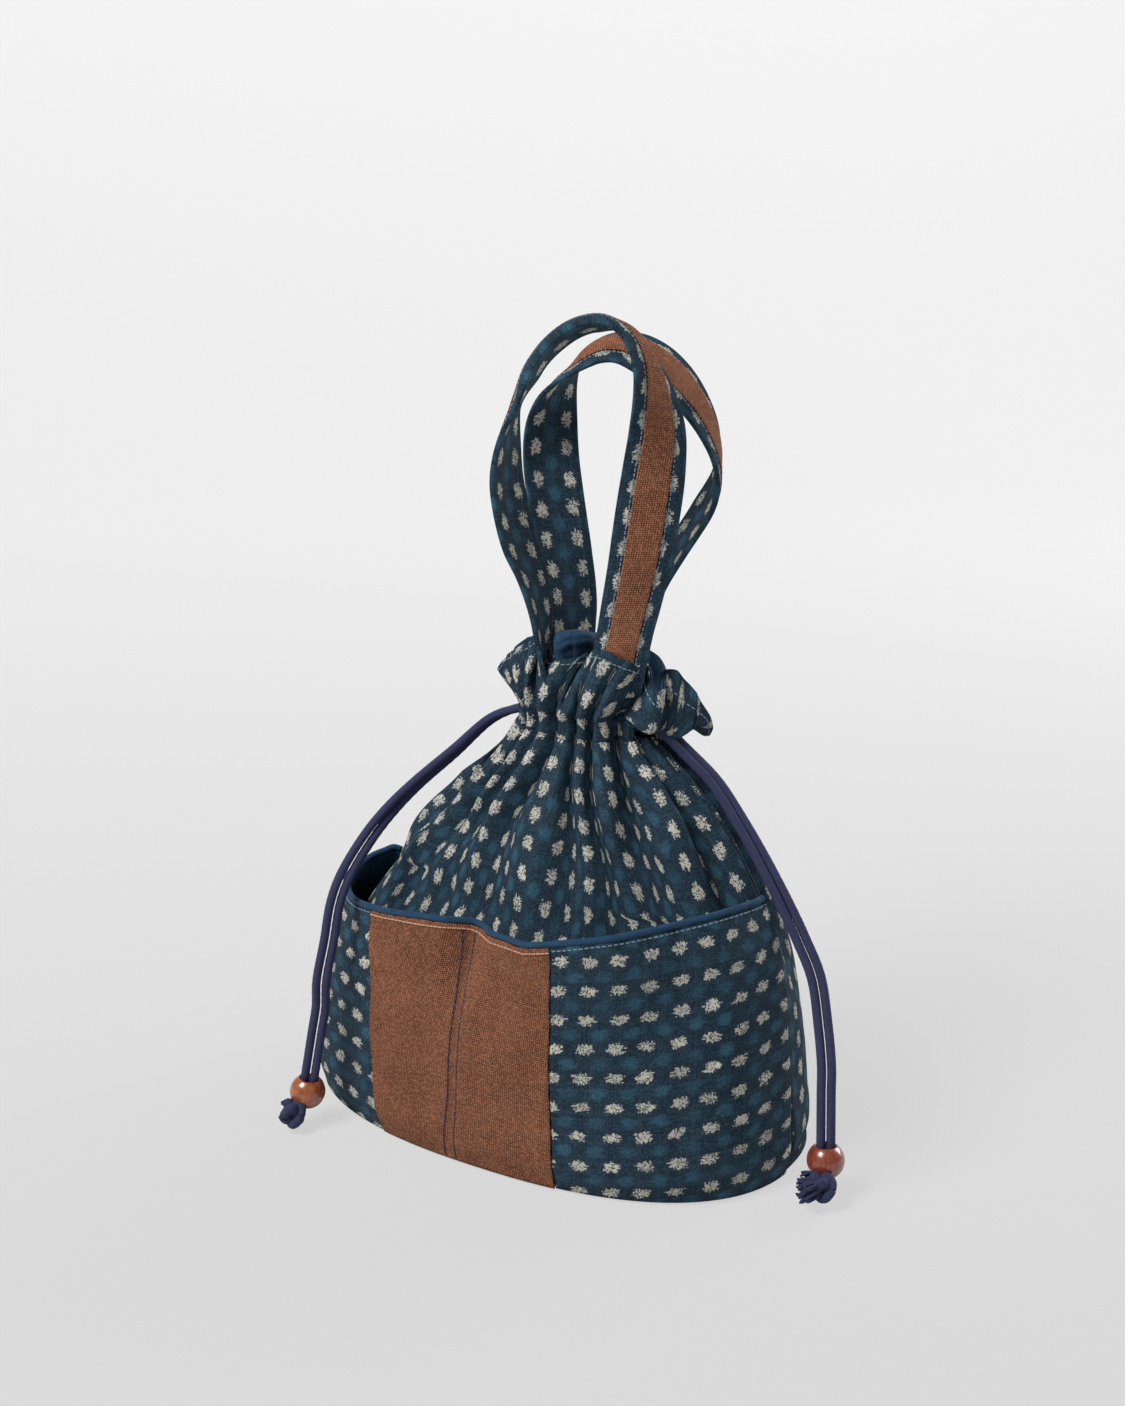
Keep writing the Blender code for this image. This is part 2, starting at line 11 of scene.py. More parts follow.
import bmesh
import bpy
import numpy as np
from mathutils import Matrix, Vector
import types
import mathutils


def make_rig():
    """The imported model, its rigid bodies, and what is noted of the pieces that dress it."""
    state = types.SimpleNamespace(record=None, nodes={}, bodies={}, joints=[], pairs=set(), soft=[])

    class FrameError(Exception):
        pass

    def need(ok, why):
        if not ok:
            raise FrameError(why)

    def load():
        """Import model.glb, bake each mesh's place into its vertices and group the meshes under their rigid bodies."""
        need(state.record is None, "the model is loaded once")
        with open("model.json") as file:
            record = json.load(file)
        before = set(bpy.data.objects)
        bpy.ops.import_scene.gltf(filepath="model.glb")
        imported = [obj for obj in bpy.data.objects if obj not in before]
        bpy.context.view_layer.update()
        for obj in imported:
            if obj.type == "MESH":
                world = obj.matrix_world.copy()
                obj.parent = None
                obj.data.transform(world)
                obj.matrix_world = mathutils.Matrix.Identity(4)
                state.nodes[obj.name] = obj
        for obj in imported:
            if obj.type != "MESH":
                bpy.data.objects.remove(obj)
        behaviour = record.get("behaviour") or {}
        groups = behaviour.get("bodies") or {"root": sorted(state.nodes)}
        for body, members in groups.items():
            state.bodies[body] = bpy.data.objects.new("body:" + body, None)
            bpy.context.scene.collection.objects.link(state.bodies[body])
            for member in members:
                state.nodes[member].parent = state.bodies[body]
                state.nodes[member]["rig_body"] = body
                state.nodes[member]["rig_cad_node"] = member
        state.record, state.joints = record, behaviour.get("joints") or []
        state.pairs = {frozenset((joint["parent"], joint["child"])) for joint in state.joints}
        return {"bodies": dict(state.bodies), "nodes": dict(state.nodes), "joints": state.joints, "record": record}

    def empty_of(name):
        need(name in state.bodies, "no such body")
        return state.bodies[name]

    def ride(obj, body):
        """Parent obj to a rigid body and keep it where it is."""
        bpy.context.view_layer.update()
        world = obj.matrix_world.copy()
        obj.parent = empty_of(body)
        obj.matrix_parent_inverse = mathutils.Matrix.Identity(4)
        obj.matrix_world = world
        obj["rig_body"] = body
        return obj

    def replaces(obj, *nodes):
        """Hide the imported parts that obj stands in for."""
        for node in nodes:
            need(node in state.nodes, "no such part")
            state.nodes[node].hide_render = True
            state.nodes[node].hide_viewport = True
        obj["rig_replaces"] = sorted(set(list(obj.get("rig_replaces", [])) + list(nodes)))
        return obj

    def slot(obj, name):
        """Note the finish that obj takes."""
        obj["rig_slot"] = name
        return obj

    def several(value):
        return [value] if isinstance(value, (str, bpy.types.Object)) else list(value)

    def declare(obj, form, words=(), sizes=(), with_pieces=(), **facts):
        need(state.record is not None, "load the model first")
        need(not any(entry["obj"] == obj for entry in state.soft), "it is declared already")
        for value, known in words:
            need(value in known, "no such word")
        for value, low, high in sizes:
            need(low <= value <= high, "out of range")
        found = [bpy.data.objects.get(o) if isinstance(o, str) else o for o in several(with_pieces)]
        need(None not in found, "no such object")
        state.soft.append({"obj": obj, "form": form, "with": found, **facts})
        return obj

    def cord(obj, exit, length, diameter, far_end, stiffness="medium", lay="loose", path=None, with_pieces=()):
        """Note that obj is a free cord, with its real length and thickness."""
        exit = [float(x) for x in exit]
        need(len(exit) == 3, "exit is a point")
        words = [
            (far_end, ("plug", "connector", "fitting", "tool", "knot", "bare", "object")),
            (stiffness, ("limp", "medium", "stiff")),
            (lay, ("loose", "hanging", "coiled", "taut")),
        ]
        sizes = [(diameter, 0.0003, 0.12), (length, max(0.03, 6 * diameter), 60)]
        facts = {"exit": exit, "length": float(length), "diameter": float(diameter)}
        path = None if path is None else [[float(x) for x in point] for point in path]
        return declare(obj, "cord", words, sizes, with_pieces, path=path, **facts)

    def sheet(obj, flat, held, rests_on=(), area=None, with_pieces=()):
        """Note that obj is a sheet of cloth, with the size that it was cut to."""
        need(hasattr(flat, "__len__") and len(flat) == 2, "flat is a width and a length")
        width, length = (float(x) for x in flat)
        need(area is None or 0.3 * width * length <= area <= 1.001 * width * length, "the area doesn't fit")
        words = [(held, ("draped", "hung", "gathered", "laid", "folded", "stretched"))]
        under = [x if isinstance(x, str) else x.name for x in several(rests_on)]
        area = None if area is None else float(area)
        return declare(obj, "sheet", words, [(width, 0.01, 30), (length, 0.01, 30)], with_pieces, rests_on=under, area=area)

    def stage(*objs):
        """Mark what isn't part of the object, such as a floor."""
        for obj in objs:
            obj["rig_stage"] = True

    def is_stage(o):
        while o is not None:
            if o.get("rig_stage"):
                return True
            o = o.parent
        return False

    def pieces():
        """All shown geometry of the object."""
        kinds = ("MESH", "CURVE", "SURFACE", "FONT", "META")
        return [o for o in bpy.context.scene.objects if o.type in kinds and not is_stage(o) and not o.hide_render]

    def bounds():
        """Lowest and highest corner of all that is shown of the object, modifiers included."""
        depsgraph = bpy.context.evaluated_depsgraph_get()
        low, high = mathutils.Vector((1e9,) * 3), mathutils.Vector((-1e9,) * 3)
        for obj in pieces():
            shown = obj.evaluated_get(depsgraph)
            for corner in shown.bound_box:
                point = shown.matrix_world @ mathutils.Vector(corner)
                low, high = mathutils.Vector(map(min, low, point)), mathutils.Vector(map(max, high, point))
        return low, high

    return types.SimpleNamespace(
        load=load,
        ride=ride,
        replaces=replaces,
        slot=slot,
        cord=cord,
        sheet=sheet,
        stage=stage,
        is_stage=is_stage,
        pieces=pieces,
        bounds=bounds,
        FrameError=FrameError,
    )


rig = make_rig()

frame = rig.load()
cad_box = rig.bounds()
MM = 0.001
print("solids:", len(frame["nodes"]), "box:", cad_box)


def add_object(name, data):
    """A new object in the scene, at the origin."""
    made = bpy.data.objects.new(name, data)
    bpy.context.collection.objects.link(made)
    return made


def dress(piece, node, slot, body="pouch"):
    """The piece is what shows of one solid, in the finish of a slot, on a body."""
    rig.replaces(piece, node)
    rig.slot(piece, slot)
    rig.ride(piece, body)


# %% [markdown]
# The camera stands to the right of the pouch and a little above it, about a metre away.
# A long lens on a tall frame gives the same mild perspective as the photograph. The camera
# comes first, because every later choice is looked at through it.

# %% Camera
AZIMUTH, PITCH, DISTANCE = math.radians(32), math.radians(17), 0.947
AIM = Vector((0.00068, 0.00042, 0.2078))
SENSOR, LENS = 36, 51.2
back = Vector((math.sin(AZIMUTH) * math.cos(PITCH), -math.cos(AZIMUTH) * math.cos(PITCH),
               math.sin(PITCH)))
camera = add_object("camera", bpy.data.cameras.new("camera"))
camera.location = AIM + back * DISTANCE
camera.rotation_euler = back.to_track_quat("Z", "Y").to_euler()
camera.data.sensor_fit = "VERTICAL"
camera.data.sensor_height = SENSOR
camera.data.lens = LENS
bpy.context.scene.camera = camera
print("camera at", [round(v, 3) for v in camera.location])

# %% [markdown]
# Materials are built from nodes. Most of the work is arithmetic on the cloth's own
# coordinates: how many millimetres across and how many millimetres along. A few short
# helpers keep that readable.

# %% Helpers for material nodes
class Signal:
    """What a node gives out. Plain arithmetic on signals adds Math nodes to the tree."""

    def __init__(self, tree, output):
        self.tree, self.output = tree, output

    def __add__(self, other):
        return calc(self.tree, "ADD", self, other)

    def __sub__(self, other):
        return calc(self.tree, "SUBTRACT", self, other)

    def __rsub__(self, other):
        return calc(self.tree, "SUBTRACT", other, self)

    def __mul__(self, other):
        return calc(self.tree, "MULTIPLY", self, other)

    def __truediv__(self, other):
        return calc(self.tree, "DIVIDE", self, other)

    def __pow__(self, other):
        return calc(self.tree, "POWER", self, other)

    def __abs__(self):
        return calc(self.tree, "ABSOLUTE", self)

    def __round__(self):
        return calc(self.tree, "ROUND", self)

    def __floor__(self):
        return calc(self.tree, "FLOOR", self)

    def sine(self):
        return calc(self.tree, "SINE", self)


def plug(tree, socket, value):
    """Feed a socket with a signal, a colour or a number."""
    if isinstance(value, Signal):
        tree.links.new(value.output, socket)
    elif isinstance(value, tuple):
        socket.default_value = (*value, 1.0)
    else:
        socket.default_value = value


def add_node(tree, kind, values=(), **settings):
    """A node with its settings, fed in the order of its inputs."""
    node = tree.nodes.new(f"ShaderNode{kind}")
    for setting, choice in settings.items():
        setattr(node, setting, choice)
    for socket, value in zip(node.inputs, values):
        plug(tree, socket, value)
    return node


def calc(tree, operation, *values):
    """One Math node on signals or numbers."""
    return Signal(tree, add_node(tree, "Math", values, operation=operation).outputs[0])


def ease(tree, value, low, high):
    """0 below low, 1 above high, smooth in between."""
    values = (value, low, high, 0.0, 1.0)
    return Signal(tree, add_node(tree, "MapRange", values, interpolation_type="SMOOTHSTEP").outputs[0])


def blend_colour(tree, share, first, second):
    node = add_node(tree, "Mix", data_type="RGBA", clamp_factor=True)
    for k, value in ((0, share), (6, first), (7, second)):
        plug(tree, node.inputs[k], value)
    return Signal(tree, node.outputs[2])


def scatter(tree, across, along):
    """A random number from 0 to 1 for each pair of whole numbers."""
    pair = Signal(tree, add_node(tree, "CombineXYZ", (across, along)).outputs[0])
    return Signal(tree, add_node(tree, "TexWhiteNoise", (pair,), noise_dimensions="3D").outputs[0])


def soft_texture(tree, place, **values):
    """A noise texture read at a place, about 0.5 on average."""
    node = add_node(tree, "TexNoise", (place,))
    for label, value in values.items():
        node.inputs[label].default_value = value
    return Signal(tree, node.outputs[0])


def cloud(tree, across, along, size):
    """Soft noise over features of a size in millimetres."""
    pair = Signal(tree, add_node(tree, "CombineXYZ", (across, along)).outputs[0])
    return soft_texture(tree, pair, Scale=1 / size, Detail=3)


def cloth_millimetres(tree):
    """The two coordinates of the cloth map, in millimetres of flat cloth."""
    uv = Signal(tree, add_node(tree, "UVMap", uv_map="cloth").outputs[0])
    parts = add_node(tree, "SeparateXYZ", (uv,))
    return Signal(tree, parts.outputs[0]), Signal(tree, parts.outputs[1])


def own_place(tree):
    return Signal(tree, add_node(tree, "TexCoord").outputs["Object"])


def plain_weave(across, along, yarn):
    """From -1 to 1, with a hump where two yarns cross."""
    return (across * (math.pi / yarn)).sine() * (along * (math.pi / yarn)).sine()


def new_finish(name, values):
    """A new material, its tree and its shader, with some of the shader's values set."""
    made = bpy.data.materials.new(name)
    made.use_nodes = True
    shader = made.node_tree.nodes["Principled BSDF"]
    for label, value in values.items():
        shader.inputs[label].default_value = value
    return made, made.node_tree, shader


def finish_cloth(name, tree_work, roughness, sheen, bump_depth):
    made, tree, shader = new_finish(name, {
        "Roughness": roughness, "Specular IOR Level": 0.12, "Sheen Weight": sheen, "Sheen Roughness": 0.6})
    colour, height = tree_work(tree)
    bump = add_node(tree, "Bump")
    for label, value in (("Strength", 1.0), ("Distance", bump_depth * MM), ("Height", height)):
        plug(tree, bump.inputs[label], value)
    plug(tree, shader.inputs["Base Color"], colour)
    plug(tree, shader.inputs["Normal"], Signal(tree, bump.outputs[0]))
    return made


# %% [markdown]
# Kasuri is cloth whose yarns are tied and dyed before they are woven. Every cream mark is
# made of yarns that were left undyed for a few millimetres, and because no two yarns lie
# exactly right, the ends of the mark are ragged. The material copies that: it cuts the
# cloth into single yarns, and each yarn shifts its own bit of the mark a little.

# %% Kasuri cloth
PITCH_MM = 14.5        # marks repeat this often, both ways
YARN = 0.62
GROUND = (0.0085, 0.0185, 0.030)
GROUND_LIGHT = (0.034, 0.066, 0.094)
BLOTCH = (0.030, 0.092, 0.140)
MARK = (0.50, 0.485, 0.42)


def kasuri_nodes(turned):
    """Marks long in the second coordinate, or in the first where the cloth is turned."""
    def work(tree):
        across, along = cloth_millimetres(tree)
        if turned:
            across, along = along, across
        across_soft = across + (cloud(tree, across, along, 9.0) - 0.5) * 1.6
        cell_a, cell_l = round(across_soft / PITCH_MM), round(along / PITCH_MM)
        yarn, pick = math.floor(across / YARN), math.floor(along / YARN)
        # Each yarn slips along its own way, and each mark has its own place and size
        slip_l = (scatter(tree, yarn, cell_l + 0.37) - 0.5) * 2.2
        slip_a = (scatter(tree, cell_a + 0.41, pick) - 0.5) * 1.5
        own = (scatter(tree, cell_a, cell_l) - 0.5) * 1.8
        near_l = (along - cell_l * PITCH_MM) + (slip_l + own)
        near_a = (across_soft - cell_a * PITCH_MM) + slip_a
        half_a = scatter(tree, cell_a + 71.0, cell_l) * 0.6 + 2.1
        half_l = scatter(tree, yarn, cell_l + 9.1) * 1.1 + 3.1
        edge = abs(near_a / half_a) ** 2.6 + abs(near_l / half_l) ** 2.6
        mark = 1.0 - ease(tree, edge, 0.75, 1.25)
        speck = scatter(tree, yarn + 0.5, pick)
        weave = plain_weave(across, along, YARN)
        # Blue blotches stand half a step from the marks, both ways
        half_cell_a = math.floor(across_soft / PITCH_MM) + 0.5
        half_cell_l = math.floor(along / PITCH_MM) + 0.5
        drift = (scatter(tree, yarn, half_cell_l) - 0.5) * 2.6
        off_a = across_soft - half_cell_a * PITCH_MM
        off_l = (along - half_cell_l * PITCH_MM) + drift
        spread = calc(tree, "SQRT", (off_a / 3.3) ** 2.0 + (off_l / 4.1) ** 2.0)
        strong = scatter(tree, half_cell_a, half_cell_l) * 0.55 + 0.30
        blotch = (1.0 - ease(tree, spread, 0.5, 1.2)) * strong * (speck * 0.7 + 0.55)
        # The ground: single yarns and picks are paler, and the dye is uneven
        faded = cloud(tree, across, along, 26.0)
        lone = scatter(tree, yarn, 3.3) ** 3.0 + scatter(tree, 5.7, pick) ** 3.0
        light = speck ** 2.0 * 0.60 + lone * 0.22 + (faded - 0.5) * 0.35
        colour = blend_colour(tree, light, GROUND, GROUND_LIGHT)
        colour = blend_colour(tree, blotch, colour, BLOTCH)
        covered = mark * ease(tree, speck + weave * 0.3, 0.0, 0.5)
        worn = scatter(tree, cell_a + 13.0, cell_l) * 0.26 + 0.70
        colour = blend_colour(tree, covered * worn, colour, MARK)
        slub = cloud(tree, across * 3.0, along, 3.0)
        return colour, weave * 0.35 + speck * 0.5 + slub * 0.9
    return work


kasuri = finish_cloth("kasuri", kasuri_nodes(False), 0.9, 0.0, 0.22)
kasuri_turned = finish_cloth("kasuri_turned", kasuri_nodes(True), 0.9, 0.0, 0.22)

# %% [markdown]
# The middle of the pocket and the strips on the handles are a coarse brown canvas in a
# basket weave: two yarns go over two. The lining and the piping are a plain blue cotton.

# %% Canvas and plain cloth
# The dark colour is painted shade in the gaps between the yarns and the light colour is painted light on their crowns;
# both also give the canvas its own speckled tone.
CANVAS_DARK = (0.040, 0.013, 0.007)
CANVAS_LIGHT = (0.47, 0.195, 0.108)
BASKET = 1.0          # one block of the basket weave


def canvas_nodes(tree):
    across, along = cloth_millimetres(tree)
    block_a, block_l = math.floor(across / BASKET), math.floor(along / BASKET)
    over = calc(tree, "MODULO", abs(block_a + block_l), 2.0)
    under = 1.0 - over
    ridge_a, ridge_l = (abs((way * (2 * math.pi / BASKET)).sine()) for way in (across, along))
    gap_a, gap_l = (abs((way * (math.pi / BASKET)).sine()) for way in (across, along))
    yarn = over * ridge_a + under * ridge_l
    hump = over * gap_l + under * gap_a
    speck = scatter(tree, block_a, block_l)
    worn = cloud(tree, across, along, 22.0)
    # Painted light and shade: the crowns of the yarns are lit and the gaps between them shaded; the specks and the
    # broad cloud are the canvas's own uneven tone.
    light = yarn * hump * 1.35 + speck ** 1.5 * 0.42 - 0.34 + (worn - 0.5) * 0.5
    return blend_colour(tree, light, CANVAS_DARK, CANVAS_LIGHT), hump + yarn * 0.4


PLAIN_DARK = (0.008, 0.026, 0.058)
PLAIN_LIGHT = (0.019, 0.062, 0.118)
PLAIN_YARN = 0.45


def plain_nodes(tree):
    across, along = cloth_millimetres(tree)
    weave = plain_weave(across, along, PLAIN_YARN)
    worn = cloud(tree, across, along, 7.0)
    # The humps where the yarns cross are painted a little lighter, a painted light on their tops; the soft cloud is
    # the cotton's own uneven dye.
    return blend_colour(tree, weave * 0.15 + worn * 0.9, PLAIN_DARK, PLAIN_LIGHT), weave * 0.4 + worn


canvas = finish_cloth("canvas", canvas_nodes, 0.9, 0.0, 0.42)
plain_blue = finish_cloth("plain_blue", plain_nodes, 0.85, 0.03, 0.12)

# %% [markdown]
# The drawcords are braided cotton, navy with a hint of purple. The braid itself is in the
# shape of the cord; the material only adds the fine fibres and a little uneven dye.

# %% Cord, thread and wood
CORD_DARK = (0.010, 0.014, 0.040)
CORD_LIGHT = (0.058, 0.064, 0.135)


def cord_nodes(tree):
    around, along = cloth_millimetres(tree)
    fibre = cloud(tree, around * 5.0, along, 1.2)
    light = fibre * 0.7 + cloud(tree, around, along, 14.0) * 0.3
    return blend_colour(tree, light ** 1.4, CORD_DARK, CORD_LIGHT), fibre


def thread(name, base, pale):
    def work(tree):
        fuzz = soft_texture(tree, own_place(tree), Scale=900)
        return blend_colour(tree, fuzz, base, pale), fuzz
    return finish_cloth(name, work, 0.7, 0.1, 0.05)


braid = finish_cloth("braid", cord_nodes, 0.85, 0.04, 0.12)
navy_thread = thread("navy_thread", (0.012, 0.016, 0.035), (0.03, 0.04, 0.07))
blue_thread = thread("blue_thread", (0.10, 0.16, 0.22), (0.22, 0.30, 0.36))
tan_thread = thread("tan_thread", (0.36, 0.17, 0.10), (0.52, 0.30, 0.20))


def wood(name, centre, axis, dark, light):
    """Stained wood: long grain along the bore, under a clear polish."""
    made, tree, shader = new_finish(name, {"Roughness": 0.28, "Coat Weight": 0.6, "Coat Roughness": 0.12})
    mapping = add_node(tree, "Mapping", (own_place(tree),), vector_type="TEXTURE")
    mapping.inputs["Location"].default_value = centre
    mapping.inputs["Rotation"].default_value = axis.to_track_quat("Z", "Y").to_euler()
    mapping.inputs["Scale"].default_value = (0.001, 0.001, 0.006)
    noise = soft_texture(tree, Signal(tree, mapping.outputs[0]), Scale=0.7, Detail=5, Distortion=0.6)
    grain = blend_colour(tree, ease(tree, noise, 0.1, 0.75), dark, light)
    plug(tree, shader.inputs["Base Color"], grain)
    return made


# %% [markdown]
# The bag's skin is a rule: an oval that shrinks and leans as it rises from base to neck.
# The same rule as the solids' is used here, on whole arrays of points at once, so every
# layer of cloth can be laid at its own distance from one skin.

# %% Skin of the bag
BASE_X, BASE_Y, BASE_POWER = 128.0, 78.0, 2.4
NECK_X, NECK_Y, NECK_LEAN, NECK_Z = 33.5, 23.5, 14.0, 198.0
CASING, WALL_Z, CLOTH, GAP = 13.0, 1.85, 0.8, 0.35
SECTION = np.array((
    (0.00, 0.980, 0.963, 0.00), (0.06, 1.000, 1.000, 0.00), (0.15, 0.972, 0.960, 0.07),
    (0.30, 0.926, 0.880, 0.21), (0.45, 0.850, 0.760, 0.50), (0.58, 0.757, 0.665, 0.79),
    (0.66, 0.672, 0.596, 0.79), (0.75, 0.545, 0.486, 0.79), (0.84, 0.376, 0.376, 0.86),
    (0.91, 0.206, 0.248, 0.93), (0.96, 0.080, 0.110, 1.00), (1.00, 0.000, 0.000, 1.00)))


def through(table, at, column, closed=False):
    """Smooth value of one column of a table, at the values of its first column."""
    keys = table[:, 0]
    count = len(keys)
    i = np.clip(np.searchsorted(keys, at, side="right") - 1, 0, count - 2)
    t = (np.clip(at, keys[0], keys[-1]) - keys[i]) / (keys[i + 1] - keys[i])
    last = count - 1
    before = (i - 1) % last if closed else np.maximum(i - 1, 0)
    after = (i + 2) % last if closed else np.minimum(i + 2, last)
    a, b, c, d = (table[k, column] for k in (before, i, i + 1, after))
    return 0.5 * (2 * b + (c - a) * t + (2 * a - 5 * b + 4 * c - d) * t * t
                  + (3 * b - a - 3 * c + d) * t ** 3)


def smooth_step(value, low, high):
    t = np.clip((value - low) / (high - low), 0, 1)
    return t * t * (3 - 2 * t)


def hill(value, centre, width, power=2):
    """1 at the centre, falling to 0 about a width away on both sides."""
    return np.exp(-np.abs((value - centre) / width) ** power)


def turned_from(degrees, at):
    """How far round an angle lies from another, between -180 and 180 degrees."""
    return (degrees - at + 180) % 360 - 180


def run_along(line):
    """Distance from the start of a line at each of its points."""
    return np.concatenate(([0], np.cumsum(np.linalg.norm(np.diff(line, axis=0), axis=1))))


def skin(degrees, level):
    """Points of the smooth skin: level 0 is the base, 1 the neck, 2 the casing's top."""
    degrees, level = np.broadcast_arrays(np.asarray(degrees, float), np.asarray(level, float))
    low = np.minimum(level, 1.0)
    half_x = NECK_X + (BASE_X - NECK_X) * through(SECTION, low, 1)
    half_y = NECK_Y + (BASE_Y - NECK_Y) * through(SECTION, low, 2)
    power = BASE_POWER + (2.0 - BASE_POWER) * low ** 2
    c, s = np.cos(np.radians(degrees)), np.sin(np.radians(degrees))
    r = (np.abs(c) ** power + np.abs(s) ** power) ** (-1 / power)
    z = WALL_Z + (NECK_Z - WALL_Z) * low + CASING * np.clip(level - 1, 0, 1)
    lean = NECK_LEAN * through(SECTION, low, 3)
    return np.stack((half_x * c * r + lean, half_y * s * r, z), -1)


def skin_normal(degrees, level):
    step = 0.02
    low = np.maximum(level - step, 0.0)
    round_way = skin(degrees + 1, level) - skin(degrees - 1, level)
    up_way = skin(degrees, level + step) - skin(degrees, low)
    n = np.cross(round_way, up_way)
    return n / np.linalg.norm(n, axis=-1, keepdims=True)


def soft_noise(across, along, seed):
    """Smooth noise from -1 to 1 with one bump per unit, the same on every run."""
    table = np.random.default_rng(seed).uniform(-1, 1, (256, 256))
    ia, il = np.floor(across).astype(int), np.floor(along).astype(int)
    fa, fl = across - ia, along - il
    fa, fl = fa * fa * (3 - 2 * fa), fl * fl * (3 - 2 * fl)
    at = lambda a, l: table[(ia + a) % 256, (il + l) % 256]
    low = at(0, 0) * (1 - fa) + at(1, 0) * fa
    high = at(0, 1) * (1 - fa) + at(1, 1) * fa
    return low * (1 - fl) + high * fl


# %% [markdown]
# Gathered cloth does not ripple evenly. Rounded ridges stand between narrow creases, each
# crease starts at the drawcord, wanders a little and runs out at its own height. So the
# creases are placed one by one: those in front where the photograph shows them, and those
# behind in the same rhythm.
# Columns: degrees at the neck, degrees at the shoulder, level where it ends, width in
# degrees, depth in millimetres.

# %% Creases of the gathered neck
CREASES = np.array((
    (190, 192, 0.62, 3.2, 6.0), (203, 201, 0.70, 2.8, 6.0), (214, 210, 0.72, 3.0, 6.5),
    (227, 229, 0.66, 3.2, 7.0), (243, 243, 0.60, 3.8, 8.5), (262, 259, 0.62, 4.4, 9.5),
    (282, 286, 0.70, 3.4, 7.5), (297, 296, 0.60, 3.2, 7.0), (321, 313, 0.66, 7.0, 15.0),
    (344, 345, 0.68, 4.2, 9.5),
    (374, 372, 0.62, 3.6, 8.0), (391, 392, 0.70, 3.4, 7.5), (406, 408, 0.55, 4.2, 9.0),
    (424, 423, 0.66, 3.6, 8.0), (441, 444, 0.60, 4.6, 10.5), (461, 458, 0.70, 3.4, 7.5),
    (476, 478, 0.56, 4.2, 9.5), (494, 492, 0.68, 3.6, 8.0), (511, 512, 0.60, 4.0, 9.0),
    (527, 528, 0.66, 3.2, 7.0)))
DEEPEST = 14.0         # creases that meet go no deeper than this, in millimetres


def crease_angle(level, crease):
    neck_at, shoulder_at = crease[:2]
    at = shoulder_at + (neck_at - shoulder_at) * smooth_step(level, 0.78, 1.0)
    return at + 1.6 * np.sin(9 * level + neck_at) * (1 - smooth_step(level, 0.85, 1.0))


def crease_profile(degrees, level, crease):
    """How deep one crease is, from 0 to 1, at points of the skin."""
    ends, width = crease[2:4]
    away = turned_from(degrees, crease_angle(level, crease))
    spread = width * (1 + 0.9 * (1 - smooth_step(level, ends, 0.92)))
    fade = smooth_step(level, ends - 0.24, ends + 0.10)
    return hill(away, 0, spread, 1.7) * fade


def fold_height(degrees, level):
    """Height of ridges and creases above the smooth skin, in millimetres."""
    low = np.minimum(level, 1.0)
    total = np.zeros(np.broadcast(degrees, level).shape)
    for crease in CREASES:
        depth = crease[4] * (1 - 0.52 * smooth_step(low, 0.88, 1.0))
        total = total + crease_profile(degrees, low, crease) * depth
    total = DEEPEST * np.tanh(1.5 * total / DEEPEST)
    lift = 4.2 * smooth_step(low, 0.60, 0.86) * (1 - 0.3 * smooth_step(low, 0.9, 1.0))
    fine = 0.55 * soft_noise(degrees / 3.1 + 40, low * 5 + 3, 11) * smooth_step(low, 0.62, 0.95)
    broad = 1.3 * soft_noise(degrees / 17 + 9, low * 4.3 + 1, 12) * smooth_step(low, 0.04, 0.25)
    broad = broad * (1 - 0.6 * smooth_step(low, 0.8, 1.0))
    slim = 9.0 * hill(degrees, 205, 42) * smooth_step(low, 0.64, 0.82) * (1 - smooth_step(low, 0.90, 1.0))
    from_seam = np.abs((degrees + 90) % 180 - 90)
    seam = 2.6 * hill(from_seam, 0, 1.5) * (1 - smooth_step(low, 0.9, 1.0))
    return lift - total + fine + broad - slim - seam


# %% [markdown]
# Above the casing the loose hem of the cloth opens into a ruffle. Its rim is one closed
# line that swings out and in: an ear on the left, two lobes in front, a narrow tongue, and a
# wide flare that hangs down on the right. Each row of cloth between the casing and that
# line is a curve that stands up and swells out on its way.
# Columns: degrees round the neck, then x, y and z of the rim in millimetres.

# %% Ruffle
RIM = np.array((
    (198, -29, -9, 223), (208, -23, -12, 229), (217, -16, -14, 235), (227, -8, -14, 240),
    (235, -2, -11, 244), (240, -6, 0, 237), (245, 0, -9, 233), (249, 7, -17, 235),
    (256, 15, -19, 236), (262, 20, -16, 237), (267, 22, -10, 237), (271, 16, 1, 233),
    (275, 25, -11, 240), (285, 34, -16, 242), (297, 42, -14, 239), (310, 47, -8, 235),
    (317, 47, -2, 233), (322, 44, 6, 232), (326, 50, -3, 228), (330, 55, -5, 224),
    (334, 57, -1, 225), (338, 52, 6, 230), (343, 57, 8, 231), (350, 61, 9, 227),
    (357, 65, 10, 223), (365, 70, 13, 214), (372, 72, 17, 207), (378, 70, 21, 200),
    (384, 63, 28, 195), (391, 50, 36, 197), (402, 37, 40, 210), (416, 31, 40, 223),
    (432, 19, 38, 230), (455, 0, 33, 235), (478, -12, 28, 236), (505, -22, 21, 235),
    (524, -30, 15, 231), (541, -32, 4, 226), (558, -29, -9, 223)))
FLAT = np.array((1, 1, 0))    # keeps what is level of a direction


def rim_point(degrees):
    at = (np.asarray(degrees, float) - 198) % 360 + 198
    return np.stack([through(RIM, at, column, closed=True) for column in (1, 2, 3)], -1)


